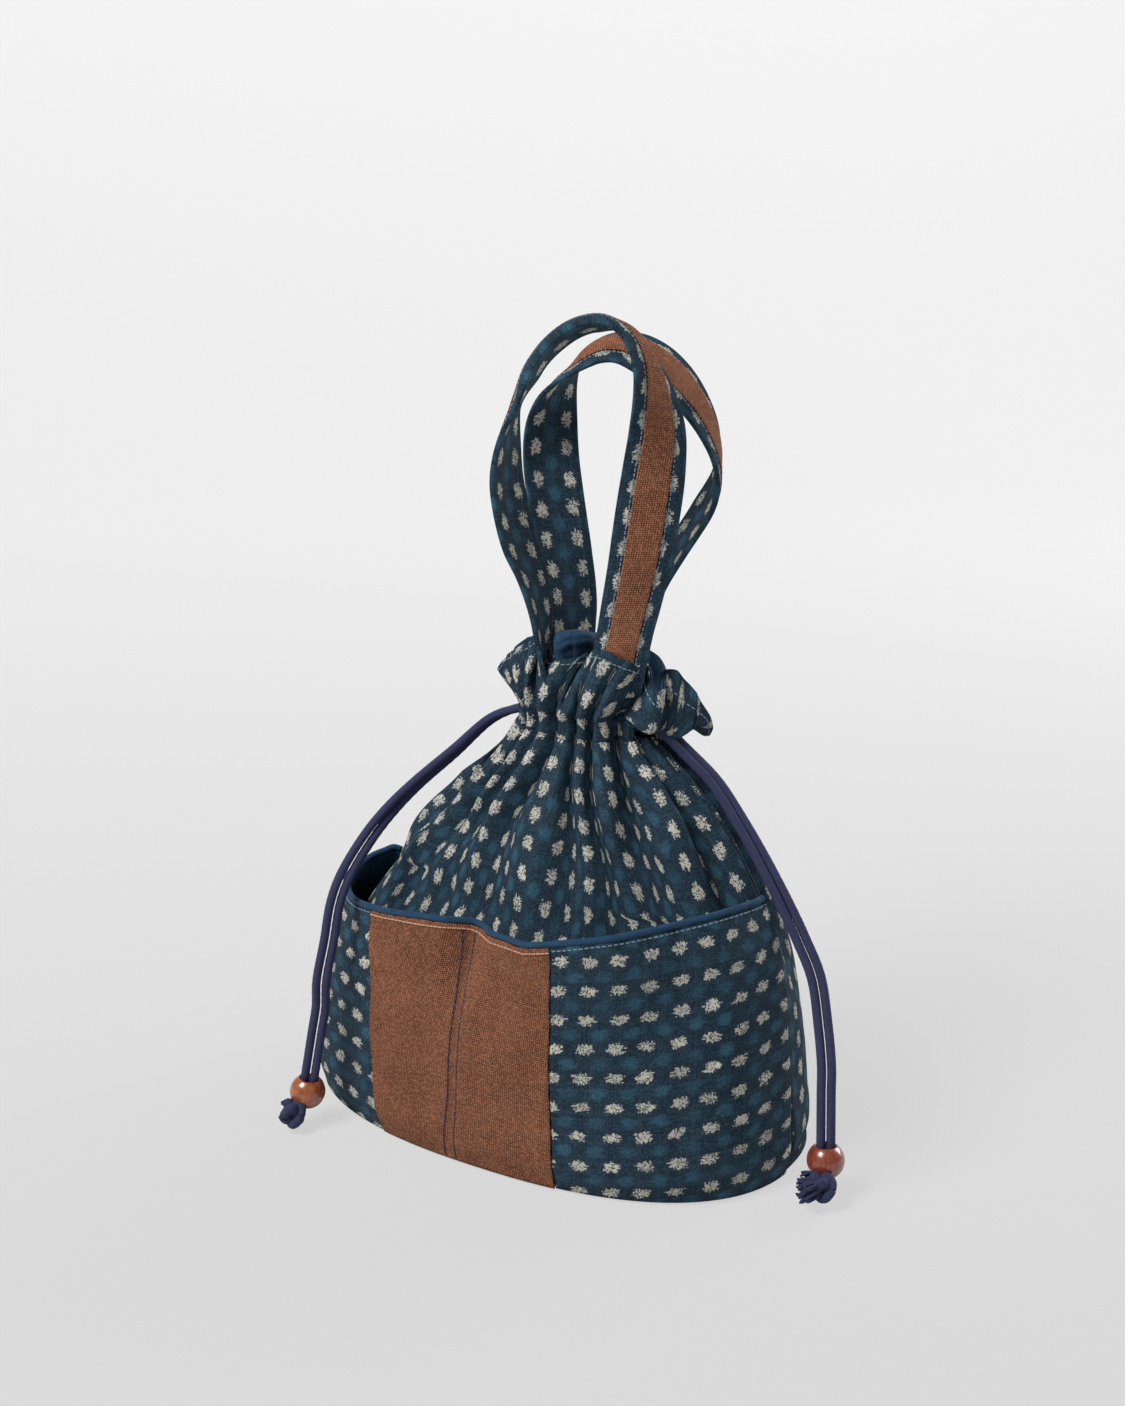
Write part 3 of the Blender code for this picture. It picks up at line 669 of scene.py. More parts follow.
def outer_points(degrees, level):
    """Points of the outer cloth, folds and ruffle included, in millimetres."""
    degrees, level = np.broadcast_arrays(np.asarray(degrees, float), np.asarray(level, float))
    under = np.minimum(level, 2.0)
    rise = fold_height(degrees, under)[..., None]
    base = skin(degrees, under) + skin_normal(degrees, under) * rise
    waist = 3.0 * hill(level, 1.5, 0.6)[..., None]
    base = base - skin_normal(degrees, np.minimum(under, 1.0)) * waist * FLAT
    t = np.clip(level - 2, 0, 1)[..., None]
    rim = rim_point(degrees)
    out = skin_normal(degrees, np.full_like(level, 0.5)) * FLAT
    hang = hill(turned_from(degrees, 8), 0, 30, 4)[..., None]
    drape = hill(turned_from(degrees, 344), 0, 20, 4)[..., None]
    swell = 4.5 + 4.0 * hang + 7.0 * drape
    stand = (base + rim) / 2 + np.array((0, 0, 1)) * (4.0 - 11.0 * hang - 28.0 * drape) + out * swell
    ruffle = base * (1 - t) ** 2 + stand * 2 * t * (1 - t) + rim * t ** 2
    ripple = 0.8 * soft_noise(degrees / 6 + 5, level * 3, 21)[..., None] * out * t
    return np.where(level[..., None] > 2, ruffle + ripple, base)


def grid_normals(points):
    """Unit normals of a grid of points, pointing out of the bag."""
    n = np.cross(np.gradient(points, axis=1), np.gradient(points, axis=0))
    return n / np.maximum(np.linalg.norm(n, axis=-1, keepdims=True), 1e-9)


# %% [markdown]
# A cloth map tells the material where each point lies on the flat cloth. Round the base it
# is the plain distance. At the neck the bag is much narrower than its cloth, and the rest
# is swallowed by the creases. So from crest to crest the map keeps true size, and the cloth
# that is left over goes by quickly in the crease between them. Each crest keeps one column
# of marks all the way up, as the gathered cloth in the photograph does.

# %% Cloth map
def base_distance(degrees):
    fine = np.linspace(0, 720, 2881)
    ring = skin(fine, np.full_like(fine, 0.06))
    return np.interp(degrees, fine, run_along(ring))


def gathered_row(degrees, level, run):
    """Distance along the flat cloth for one row of points; run is the distance in the air."""
    low = min(level, 1.0)
    wanted = base_distance(degrees)
    angles = np.sort([crease_angle(low, crease) for crease in CREASES])
    angles = np.concatenate((angles - 360, angles, angles + 360))
    angles = angles[(angles > degrees[0] + 3) & (angles < degrees[-1] - 3)]
    crests = np.concatenate(([degrees[0]], (angles[1:] + angles[:-1]) / 2, [degrees[-1]]))
    at = base_distance(crests)
    column = np.round(at / PITCH_MM) * PITCH_MM
    column[0], column[-1] = at[0], at[-1]
    settled = smooth_step(low, 0.50, 0.80)
    at = at + (column - at) * settled
    air = np.interp(crests, degrees, run)
    tight = 0.85 - 0.55 * smooth_step(low, 0.55, 0.9)
    spread = np.zeros_like(run)
    for k, crease in enumerate(angles):
        start, end = air[k], air[k + 1]
        inside = (run >= start) & (run <= end)
        surplus = (at[k + 1] - at[k]) - (end - start)
        centre = np.interp(crease, degrees, run)
        half = (end - start) * tight / 2
        swallowed = surplus * smooth_step(run[inside], centre - half, centre + half)
        spread[inside] = at[k] + (run[inside] - start) + swallowed
    share = smooth_step(low, 0.42, 0.66)
    return wanted * (1 - share) + spread * share


def cloth_map(points, degrees, level):
    """Across and along, in millimetres of flat cloth, for a grid of points."""
    step = np.linalg.norm(np.diff(points, axis=1), axis=2)
    run = np.concatenate((np.zeros((len(points), 1)), np.cumsum(step, axis=1)), axis=1)
    across = np.array([gathered_row(degrees[k], level[k, 0], run[k]) for k in range(len(points))])
    rise = np.linalg.norm(np.diff(points, axis=0), axis=2)
    rise = np.repeat(rise.mean(axis=1, keepdims=True), points.shape[1], axis=1) * 0.6 + rise * 0.4
    along = np.concatenate((np.zeros((1, points.shape[1])), np.cumsum(rise, axis=0)), axis=0)
    return np.stack((across, along), -1)


# %% [markdown]
# One helper turns a grid of points into a piece of cloth: a mesh with its cloth map, made
# thick by Solidify.

# %% Make a sheet
def lay_cloth(name, points, uv, finish, thick, closed=False):
    rows, columns = points.shape[:2]
    index = np.arange(rows * columns).reshape(rows, columns)
    if closed:
        index = np.concatenate((index, index[:, :1]), axis=1)
        uv = np.concatenate((uv, uv[:, :1] + np.array((uv[0, -1, 0] - uv[0, 0, 0], 0))), axis=1)
    faces, corner_uv = (
        np.stack((grid[:-1, :-1], grid[:-1, 1:], grid[1:, 1:], grid[1:, :-1]), 2) for grid in (index, uv))
    mesh = bpy.data.meshes.new(name)
    mesh.from_pydata((points.reshape(-1, 3) * MM).tolist(), [], faces.reshape(-1, 4).tolist())
    layer = mesh.uv_layers.new(name="cloth")
    layer.data.foreach_set("uv", corner_uv.ravel())
    mesh.materials.append(finish)
    mesh.polygons.foreach_set("use_smooth", [True] * len(mesh.polygons))
    piece = add_object(name, mesh)
    if thick:
        wall = piece.modifiers.new("cloth", "SOLIDIFY")
        wall.thickness = thick * MM
        wall.offset = 0.0
    return piece


def area_of(points):
    """Area of a grid in square metres."""
    a = points[1:, 1:] - points[:-1, :-1]
    b = points[1:, :-1] - points[:-1, 1:]
    return float(np.linalg.norm(np.cross(a, b), axis=-1).sum() / 2) * MM * MM


# %% [markdown]
# The bag is cut as two pieces of cloth that meet at the side seams. At the casing they
# stop short of the seam, which leaves a slit on each side for the cords.

# %% Outer cloth
SLIT = 7.8


def grid_levels(stretches, columns):
    """Levels of a grid's rows: each stretch runs from one level to the next in some rows."""
    rows = [np.linspace(low, high, count, endpoint=False) for low, high, count in stretches[:-1]]
    rows.append(np.linspace(*stretches[-1]))
    return np.concatenate(rows)[:, None] * np.ones((1, columns))


def body_grid(first, columns=250):
    level = grid_levels(((0, 0.55, 34), (0.55, 1.0, 62), (1.0, 2.0, 16), (2.0, 3.0, 34)), columns)
    slit = SLIT * smooth_step(level, 1.02, 1.25) * (1 - smooth_step(level, 1.75, 1.98))
    half_y = NECK_Y + (BASE_Y - NECK_Y) * through(SECTION, np.minimum(level, 1), 2)
    hold = np.degrees(np.arcsin((GAP / 2 + slit) / half_y))
    share = np.linspace(0, 1, columns)[None, :]
    degrees = first + hold + (180 - 2 * hold) * share
    return outer_points(degrees, level), degrees, level


for side, first in (("front", 180), ("back", 0)):
    points, degrees, level = body_grid(first)
    piece = lay_cloth(f"{side}_cloth", points, cloth_map(points, degrees, level), kasuri, CLOTH)
    print(side, "cloth area", round(area_of(points), 4))
    dress(piece, f"body_{side}_panel", "kasuri_cloth")
    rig.sheet(piece, flat=(0.340, 0.262), held="gathered", rests_on=["base_panel"])

# %% [markdown]
# The lining is a plain blue bag inside. Only its rim shows, where the ruffle turns over,
# so it follows the ruffle closely there and hangs smooth below.

# %% Lining
LINING_INSIDE = 1.25   # the lining lies this far inside the ruffle


def lining_grid(columns=300):
    level = grid_levels(((0.004, 1.0, 26), (1.0, 2.15, 8), (2.15, 3.0, 26)), columns)
    degrees = np.linspace(180, 540, columns, endpoint=False)[None, :] * np.ones_like(level)
    upper = outer_points(degrees, level)
    wrapped = np.concatenate((upper[:, -1:], upper, upper[:, :1]), axis=1)
    upper = upper - grid_normals(wrapped)[:, 1:-1] * LINING_INSIDE
    # A roll of lining stands out in front of the back handle's feet
    roll = hill(degrees, 478, 21, 4) * np.sin(np.pi * np.clip((level - 2.15) / 0.80, 0, 1)) ** 0.7
    wrinkle = roll * (0.7 * np.sin(level * 42 + degrees / 9))
    upper = upper + roll[..., None] * np.array((10.1, -16.1, 9.0))
    upper = upper + wrinkle[..., None] * np.array((0.5, -0.8, 0.4))
    inset = 6.0 + 15.0 * smooth_step(level, 0.20, 0.50) - 10.0 * smooth_step(level, 0.84, 0.98)
    under = np.minimum(level, 2)
    lower = skin(degrees, under) - skin_normal(degrees, under) * inset[..., None]
    share = smooth_step(level, 1.9, 2.45)[..., None]
    return lower * (1 - share) + upper * share, degrees


lining_points, lining_degrees = lining_grid()
lining_uv = np.stack((base_distance(lining_degrees), lining_points[..., 2]), -1)
lining = lay_cloth("lining_cloth", lining_points, lining_uv, plain_blue, CLOTH, closed=True)
print("lining area", round(area_of(lining_points), 4))
dress(lining, "lining", "plain_cloth")
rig.sheet(lining, flat=(0.560, 0.230), held="gathered", rests_on=["base_panel"])

# %% [markdown]
# The pocket is a second wall over the whole front, taller on the right. A stitched line
# divides it, and on the left it gapes. The wall is a lined cloth in three pieces: canvas
# between two of kasuri turned on its side.

# %% Pocket wall
GAPE = np.array((
    (180.0, 0.0), (192.0, 0.40), (212.0, 0.70), (240.0, 1.08), (256.0, 0.62), (263.0, 0.10),
    (270.0, 0.62), (284.0, 1.0), (300.0, 0.92), (316.0, 0.38), (335.0, 0.17), (350.0, 0.15),
    (360.0, 0.10)))
POCKET_GAPE, DIVIDER = 19.0, 263.0
WALL_START, WALL_END = 180.5, 356.4
LEFT_RIM, CANVAS_RISE, RIGHT_RISE, END_RISE = 104, 10.5, 16.5, 9.0


def divider_at(share):
    """The divider leans a little to the left from the base to the rim."""
    return DIVIDER + 2.2 - 4.2 * share + 8.0 * share * (1 - share)


def rim_height(degrees):
    """Low round the left end, level over the canvas, rising to the right."""
    left = smooth_step(degrees, 220, 256)
    right = np.sin(np.pi / 2 * np.clip((degrees - 280) / 65, 0, 1))
    step = 1.4 * hill(degrees, DIVIDER - 3, 5)
    end = END_RISE * (1 - smooth_step(degrees, 182, 200))
    return LEFT_RIM + CANVAS_RISE * left + RIGHT_RISE * right + step + end


def pocket_points(degrees, share, out):
    """Points of the pocket wall; share 0 is the base and 1 the rim."""
    degrees, share = np.broadcast_arrays(np.asarray(degrees, float), np.asarray(share, float))
    rim = (rim_height(degrees) - WALL_Z) / (NECK_Z - WALL_Z)
    level = rim * share
    gape = POCKET_GAPE * through(GAPE, degrees, 1) * share ** 1.5
    away = degrees - divider_at(share)
    divider = 5.0 * hill(away, 0, 9) * np.sin(np.pi * np.minimum(level / 0.75, 1)) ** 0.8
    dent = 1.2 * soft_noise(degrees / 11 + 2, share * 3.2 + 7, 31)
    dent = (dent + 0.5 * soft_noise(degrees / 4 + 2, share * 6, 32)) * smooth_step(share, 0.03, 0.3)
    pull = -1.3 * hill(away, 0, 1.4) * smooth_step(share, 0.02, 0.1)
    from_seam = np.minimum(degrees - WALL_START, WALL_END - degrees)
    sewn = 3.0 * hill(from_seam, 0, 1.6)
    rib_at = 3 * share + 0.9 * soft_noise(degrees / 16 + 7, share * 2, 33)
    ribs = 0.45 * np.maximum(np.sin(2 * np.pi * rib_at * 1.4), 0) ** 3
    ribs = ribs * smooth_step(degrees, 290, 300) * smooth_step(share, 0.05, 0.3)
    folds = np.maximum(fold_height(degrees, level), 0) * 0.6
    height = gape + divider + dent + pull + out + folds + 1.0 - sewn - ribs
    return skin(degrees, level) + skin_normal(degrees, level) * height[..., None]


def pocket_map(points, degrees, slant):
    rise = np.linalg.norm(np.diff(points, axis=0), axis=2)
    along = np.concatenate((np.zeros((1, points.shape[1])), np.cumsum(rise, axis=0)), axis=0)
    across = base_distance(degrees)
    return np.stack((across, along - slant * (across - across[0, 0])), -1)


def pocket_piece(name, first, last, columns, out, finish, node, flat, slot, slant=0.0, wave=0.0):
    """One panel of the wall; a seam is a pair, its angle at the base and at the rim."""
    column = np.linspace(0, 1, columns)[None, :]
    share = np.linspace(0, 1, 70)[:, None] * np.ones((1, columns))
    first, last = (pair[0] + (pair[1] - pair[0]) * share for pair in (first, last))
    wander = wave * soft_noise(share * 4.6 + 3, share * 0 + 2, 35) * (1 - column)
    degrees = first + (last - first) * column + wander
    points = pocket_points(degrees, share, out)
    piece = lay_cloth(name, points, pocket_map(points, degrees, slant), finish, CLOTH)
    dress(piece, node, slot)
    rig.sheet(piece, flat=flat, held="stretched", rests_on=["base_panel"])
    print(name, "area", round(area_of(points), 4))


LEFT_SEAM, RIGHT_SEAM = np.array((247.0, 236.0)), np.array((290.2, 286.6))
LEFT_END, RIGHT_END = (WALL_START, WALL_START), (WALL_END, WALL_END)
KASURI_OUT, CANVAS_OUT, INNER_OUT = 2.5, 3.1, 1.3     # distance of each layer from the skin
pocket_piece("pocket_left_cloth", LEFT_END, LEFT_SEAM + 1.6, 100, KASURI_OUT, kasuri_turned,
             "pocket_left_panel", (0.118, 0.112), "kasuri_cloth")
pocket_piece("pocket_canvas", LEFT_SEAM + 0.1, RIGHT_SEAM - 0.1, 90, CANVAS_OUT, canvas,
             "pocket_centre_panel", (0.108, 0.114), "brown_canvas", wave=1.1)
pocket_piece("pocket_right_cloth", RIGHT_SEAM + 0.1, RIGHT_END, 130, KASURI_OUT, kasuri_turned,
             "pocket_right_panel", (0.134, 0.124), "kasuri_cloth", slant=0.12)
pocket_piece("pocket_inner_cloth", LEFT_END, RIGHT_END, 240, INNER_OUT, plain_blue,
             "pocket_lining", (0.345, 0.118), "plain_cloth")

# %% [markdown]
# Tubes with a cloth map of their own serve for the piping, the cords and the knots. The
# ring of points is carried along the line without twisting. The cords add the braid: eight
# strands that cross, as small bumps on the tube.

# %% Tubes
def even_line(points, spacing):
    """Evenly spaced points along a smooth curve through the given ones."""
    points = np.asarray(points, float)
    table = np.column_stack((np.arange(len(points)), points))
    fine_at = np.linspace(0, len(points) - 1, (len(points) - 1) * 24 + 1)
    fine = np.stack([through(table, fine_at, k) for k in (1, 2, 3)], -1)
    run = run_along(fine)
    count = max(2, round(run[-1] / spacing))
    goal = np.linspace(0, run[-1], count + 1)
    return np.stack([np.interp(goal, run, fine[:, k]) for k in range(3)], -1)


def ring_frames(line):
    """Two directions across the line at each point, carried along without twist."""
    tangent = np.gradient(line, axis=0)
    tangent /= np.linalg.norm(tangent, axis=1, keepdims=True)
    side = np.cross(tangent[0], (0.3, 0.2, 0.9))
    side /= np.linalg.norm(side)
    sides = []
    for t in tangent:
        side = side - t * np.dot(side, t)
        side /= np.linalg.norm(side)
        sides.append(side)
    sides = np.array(sides)
    return sides, np.cross(tangent, sides)


def face_outwards(mesh, fill=False):
    """Turn all faces outwards, after closing the holes where that is asked."""
    bm = bmesh.new()
    bm.from_mesh(mesh)
    if fill:
        bmesh.ops.holes_fill(bm, edges=[e for e in bm.edges if e.is_boundary], sides=0)
    bmesh.ops.recalc_face_normals(bm, faces=bm.faces)
    bm.to_mesh(mesh)
    bm.free()


BRAID_TURN = 9.0       # length of cord in which a strand goes once round


def tube(name, line, radius, finish, around=14, braided=False, taper=None):
    line = np.asarray(line, float)
    first, second = ring_frames(line)
    run = run_along(line)
    angle = np.linspace(0, 2 * np.pi, around, endpoint=False)[None, :]
    size = np.full((len(line), around), radius)
    if braided:
        turn = run[:, None] * 2 * np.pi / BRAID_TURN
        strand = np.abs(np.cos(4 * angle + turn) * np.cos(4 * angle - turn)) ** 0.5
        size = radius * (0.93 + 0.09 * strand)
    if taper is not None:
        size = size * taper[:, None]
    points = (line[:, None] + first[:, None] * (np.cos(angle) * size)[..., None]
              + second[:, None] * (np.sin(angle) * size)[..., None])
    uv = np.stack((angle * radius + run[:, None] * 0, run[:, None] + angle * 0), -1)
    piece = lay_cloth(name, points, uv, finish, 0, closed=True)
    face_outwards(piece.data, fill=True)
    return piece


# %% Piping on the pocket rim
PIPING_RADIUS, PIPING_UP = 1.55, 1.6
rim_degrees = np.linspace(WALL_START + 0.6, WALL_END - 0.4, 220)
rim_line = pocket_points(rim_degrees, 1.0, 1.9) + np.array((0, 0, PIPING_UP))
piping = tube("rim_piping", rim_line, PIPING_RADIUS, plain_blue, around=12)
dress(piping, "pocket_piping", "plain_cloth")

# %% [markdown]
# Each handle is a folded strap with a canvas strip sewn on its outer face. A strap in the
# air turns as it rises, so its shape is given by its two long edges: pairs of points, the
# near edge and the far one, from the left foot over the top to the right foot. The feet
# are sewn in between the outer cloth and the lining and follow the rim.

# %% Handles
FRONT_HANDLE = (
    ((4, -19, 218), (-8, -9, 218)), ((4, -23, 236), (-5, -8, 234)), ((3, -28, 256), (0, -3, 252)),
    ((-1, -34, 277), (-3, -7, 271)), ((-6, -38, 287), (-5, -11, 282)),
    ((-9, -43, 303), (-7, -15, 299)), ((-9, -45, 325), (-11, -17, 321)), ((-5, -43, 340), (-13, -17, 336)),
    ((1, -40, 352), (-12, -15, 350)), ((7, -34, 362), (-13, -15, 360)), ((10, -31, 371), (-10, -11, 369)),
    ((14, -28, 378), (-4, -6, 377)), ((21, -24, 385), (5, -1, 386)), ((29, -19, 387), (16, 5, 390)),
    ((37, -17, 386), (23, 7, 388)), ((43, -16, 382), (31, 10, 383)), ((47, -15, 376), (39, 12, 375)),
    ((48, -15, 360), (51, 13, 358)), ((44, -13, 343), (60, 10, 344)), ((38, -11, 322), (63, 4, 325)),
    ((36, -13, 303), (61, 3, 303)), ((34, -14, 281), (58, 1, 281)), ((30, -14, 260), (56, -5, 261)),
    ((27, -16, 238), (50, -7, 240)), ((26, -15, 218), (44, -7, 220)))
BACK_HANDLE = (
    ((-13, 9, 218), (-2, 24, 218)), ((-14, 11, 234), (-2, 31, 232)), ((-14, 13, 248), (-1, 37, 243)),
    ((-18, 14, 260), (-4, 38, 257)), ((-24, 17, 274), (-6, 39, 272)),
    ((-32, 21, 296), (-12, 41, 295)), ((-37, 24, 317), (-16, 42, 316)), ((-34, 21, 334), (-19, 45, 332)),
    ((-26, 19, 349), (-20, 46, 345)), ((-15, 19, 356), (-20, 46, 354)), ((-7, 21, 360), (-19, 46, 362)),
    ((-1, 23, 363), (-15, 47, 368)), ((6, 26, 367), (-8, 49, 374)), ((12, 28, 367), (2, 52, 377)),
    ((20, 30, 363), (13, 54, 376)), ((29, 32, 356), (26, 56, 371)), ((38, 33, 351), (35, 58, 362)),
    ((46, 33, 343), (42, 60, 351)), ((55, 34, 334), (48, 61, 338)), ((60, 34, 326), (50, 60, 325)),
    ((63, 34, 318), (49, 58, 315)), ((65, 34, 309), (46, 55, 309)), ((62, 32, 301), (42, 52, 302)),
    ((57, 30, 290), (37, 50, 291)), ((49, 26, 278), (31, 47, 279)), ((42, 24, 263), (22, 44, 261)),
    ((35, 23, 251), (13, 40, 246)), ((36, 21, 238), (14, 32, 234)), ((34, 17, 220), (16, 24, 220)))
STRAP_THICK, STRAP_WIDTH, NARROWEST, STRAP_ROWS = 2.2, 28.0, 26, 330
STRIP_THICK, STRIP_WIDTH, STRIP_LIFT, SEAM_LIFT = 0.75, 15.0, 1.50, 1.25


def strap_edges(stations):
    return np.array([a for a, b in stations], float), np.array([b for a, b in stations], float)


def strap_rows(near, far, count):
    table = np.column_stack((np.arange(len(near)), near, far))
    kernel = np.array((1, 2, 1)) / 4
    for k in range(1, 7):
        table[1:-1, k] = np.convolve(table[:, k], kernel, mode="valid")
    at = np.linspace(0, len(near) - 1, 800)
    both = np.stack([through(table, at, k) for k in range(1, 7)], -1)
    middle = (both[:, :3] + both[:, 3:]) / 2
    run = run_along(middle)
    goal = np.linspace(0, run[-1], count)
    both = np.stack([np.interp(goal, run, both[:, k]) for k in range(6)], -1)
    return both[:, :3], both[:, 3:], goal


def strap_surface(near, far, goal, shares, lift, crown, roll):
    """Rows of points across the strap; shares run from -0.5 at the near edge to 0.5."""
    middle = (near + far) / 2
    across = far - near
    width = np.linalg.norm(across, axis=1, keepdims=True)
    across = across / width
    along = np.gradient(middle, axis=0)
    along /= np.linalg.norm(along, axis=1, keepdims=True)
    outer = np.cross(along, across)
    outer /= np.linalg.norm(outer, axis=1, keepdims=True)
    shares = np.asarray(shares)[None, :, None]
    arch = crown[:, None, None] * (1 - (2 * shares) ** 2)
    from_near = shares + 0.5
    rolled = 2.8 + 3.4 * np.sin(np.pi * from_near ** 0.38) - 9.0 * from_near
    wave = 0.5 * soft_noise(goal / 17, shares[0, :, 0][:, None] * 2 + 3, 41).T[..., None]
    point = (middle[:, None] + across[:, None] * shares * np.maximum(width[:, None], NARROWEST)
             + outer[:, None] * (arch + lift + wave + rolled * roll[:, None, None]))
    uv = np.stack(np.broadcast_arrays(shares[..., 0] * STRAP_WIDTH * 0.92, goal[:, None]), -1)
    return point, uv


def make_handle(name, stations, shift, strip_ends, rolled):
    near, far = strap_edges(stations)
    near, far, goal = strap_rows(near, far, STRAP_ROWS)
    top = (near[:, 2] + far[:, 2]) / 2
    roll = rolled * smooth_step(top, 348, 368) * (1 - smooth_step(near[:, 0], 30, 46))
    crown = 1.2 + 1.8 * smooth_step(top, 350, 385) * (1 - roll) - 0.6 * roll
    points, uv = strap_surface(near, far, goal, np.linspace(-0.5, 0.5, 29), 0, crown, roll)
    uv = uv + np.array((7.25, shift))
    strap = lay_cloth(f"{name}_strap", points, uv, kasuri, STRAP_THICK)
    soft = strap.modifiers.new("folded edge", "BEVEL")
    soft.width = 0.9 * MM
    soft.segments = 3
    soft.limit_method = "ANGLE"
    soft.angle_limit = math.radians(60)
    half = STRIP_WIDTH / STRAP_WIDTH / 2
    keep = slice(*strip_ends)
    rows = near[keep], far[keep], goal[keep]
    bend = crown[keep], roll[keep]
    strip_points, strip_uv = strap_surface(*rows, np.linspace(-half, half, 17), STRIP_LIFT, *bend)
    strip = lay_cloth(f"{name}_strip", strip_points, strip_uv, canvas, STRIP_THICK)
    beside = half + 0.035
    seams = [strap_surface(*rows, [share], SEAM_LIFT, *bend)[0][:, 0] for share in (-beside, beside)]
    length = goal[-1] * MM
    print(name, "strap length", round(length, 3), "area", round(area_of(points), 4))
    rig.sheet(strap, flat=(0.028, length), held="folded", rests_on=["front_cloth"])
    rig.sheet(strip, flat=(0.015, length * 0.8), held="stretched", rests_on=[f"{name}_strap"])
    return strap, strip, seams


handle_seams = []
for side, stations, shift, strip_ends, rolled in (
        ("front", FRONT_HANDLE, 3.0, (52, 315), 1.0), ("back", BACK_HANDLE, 8.0, (40, 300), 0.0)):
    strap, strip, seams = make_handle(f"{side}_handle", stations, shift, strip_ends, rolled)
    dress(strap, f"handle_{side}_strap", "kasuri_cloth")
    dress(strip, f"handle_{side}_strip", "brown_canvas")
    handle_seams += seams

# %% [markdown]
# Each drawcord starts at its knot, climbs one strand, goes round the neck inside the
# casing, and comes back down the second strand through the same bead. The first piece of
# cord here is the ring with one strand, the second piece is the other strand.

# %% Routes of the drawcords
CORD, STRAND_GAP, BEAD, BEAD_TRAVEL = 4.2, 0.4, 17.4, 30.0
LEFT_BEAD, LEFT_AXIS = np.array((-91.0, -88.0, 17.7)), np.array((0.149938, 0.089963, 0.984594))
RIGHT_BEAD, RIGHT_AXIS = np.array((151.8, -14.4, 17.7)), np.array((-0.08014, 0.100175, 0.991737))
LEFT_ROUTE = ((-82, -85, 78), (-79, -82, 98), (-77, -79, 116), (-75.5, -72, 129), (-73, -58, 143),
              (-68, -46, 155), (-60, -34, 167), (-48, -20, 181), (-37, -5, 195))
RIGHT_ROUTE = ((144, -6, 80), (138, -2, 100), (129, 0, 116), (119, 2, 131), (106, 4, 149),
               (93, 6, 165), (80, 7, 180), (67, 5, 192))
PAIR_WAY = np.array((0.848, 0.530, 0))      # the way from one strand to the other


def strand_routes(bead, axis, route, outer, height):
    reach = BEAD / 2 + GAP
    start = bead - axis * (math.sqrt(reach ** 2 - (CORD + STRAND_GAP / 2) ** 2) - GAP)
    middle = [start + axis * (BEAD + BEAD_TRAVEL + 6) * k / 4 for k in range(5)]
    straight = len(middle)
    middle += [np.array(place, float) for place in route]
    for reach in (NECK_X + 4, NECK_X - 2):
        middle.append(np.array((NECK_LEAN + outer * reach, 0, height)))
    first, second = [], []
    for i, place in enumerate(middle):
        along = axis
        if i >= straight:
            along = middle[min(i + 1, len(middle) - 1)] - middle[i - 1]
            along = along / np.linalg.norm(along)
        turn = max(i - straight + 1, 0) / (len(middle) - straight)
        apart = PAIR_WAY * (1 - turn) + np.array((0, 1, 0)) * turn
        apart = apart - along * np.dot(apart, along)
        apart = apart / np.linalg.norm(apart) * (CORD + STRAND_GAP) / 2
        first.append(place + apart)
        second.append(place - apart)
    return np.array(first), np.array(second)


RING_INSIDE, RING_OPEN = 5.0, 0.46     # extra room in the casing; open angle, in radians


def casing_ring(side, way, height):
    inset = RING_INSIDE + CLOTH / 2 + GAP + CORD / 2
    turn = side + way * np.linspace(RING_OPEN, 2 * math.pi - RING_OPEN, 23)
    return np.stack(((NECK_X - inset) * np.cos(turn) + NECK_LEAN, (NECK_Y - inset) * np.sin(turn),
                     np.full_like(turn, height)), -1)


def length_of(line):
    return np.linalg.norm(np.diff(line, axis=0), axis=1).sum()


cords = {}
for name, bead, axis, route, outer, height in (
        ("left", LEFT_BEAD, LEFT_AXIS, LEFT_ROUTE, -1, NECK_Z + 3.7),
        ("right", RIGHT_BEAD, RIGHT_AXIS, RIGHT_ROUTE, 1, NECK_Z + 8.5)):
    up, down = strand_routes(bead, axis, route, outer, height)
    side = math.pi if outer < 0 else 0.0
    ring = casing_ring(side, outer, height)
    long_route = even_line(np.concatenate((ring[::-1], up[::-1])), 1.1)
    short_route = even_line(down[::-1], 1.1)
    cords[name] = {"ring": long_route, "strand": short_route}
    print(name, "cord", round(length_of(long_route)), "+", round(length_of(short_route)), "mm")

# %% [markdown]
# The beads are turned wood: a profile spun round the axis of the bore, with the bore left
# open for the cords.

# %% Beads
BORE_ROOM, TURNS = 0.35, 64


def turned_bead(name, centre, axis, finish):
    radius, bore = BEAD / 2, (2 * CORD + STRAND_GAP) / 2 + BORE_ROOM
    top = math.atan2(math.sqrt(radius ** 2 - (bore + 0.4) ** 2), bore + 0.4)
    outline = [(radius * math.cos(a), radius * math.sin(a)) for a in np.linspace(top, -top, 29)]
    lip = outline[-1][1]
    outline += [(bore + 0.12, lip - 0.02), (bore, lip + 0.35), (bore, 0), (bore, -lip - 0.35),
                (bore + 0.12, -lip + 0.02)]
    turn = Vector(axis).to_track_quat("Z", "Y").to_matrix()
    verts, faces = [], []
    for k in range(TURNS):
        a = 2 * math.pi * k / TURNS
        verts += [(turn @ Vector((r * math.cos(a), r * math.sin(a), z)) + Vector(centre)) * MM
                  for r, z in outline]
    count = len(outline)
    for k in range(TURNS):
        for i in range(count):
            j, n = (i + 1) % count, (k + 1) % TURNS
            faces.append((k * count + i, k * count + j, n * count + j, n * count + i))
    mesh = bpy.data.meshes.new(name)
    mesh.from_pydata(verts, [], faces)
    mesh.materials.append(finish)
    mesh.polygons.foreach_set("use_smooth", [True] * len(mesh.polygons))
    face_outwards(mesh)
    return add_object(name, mesh)


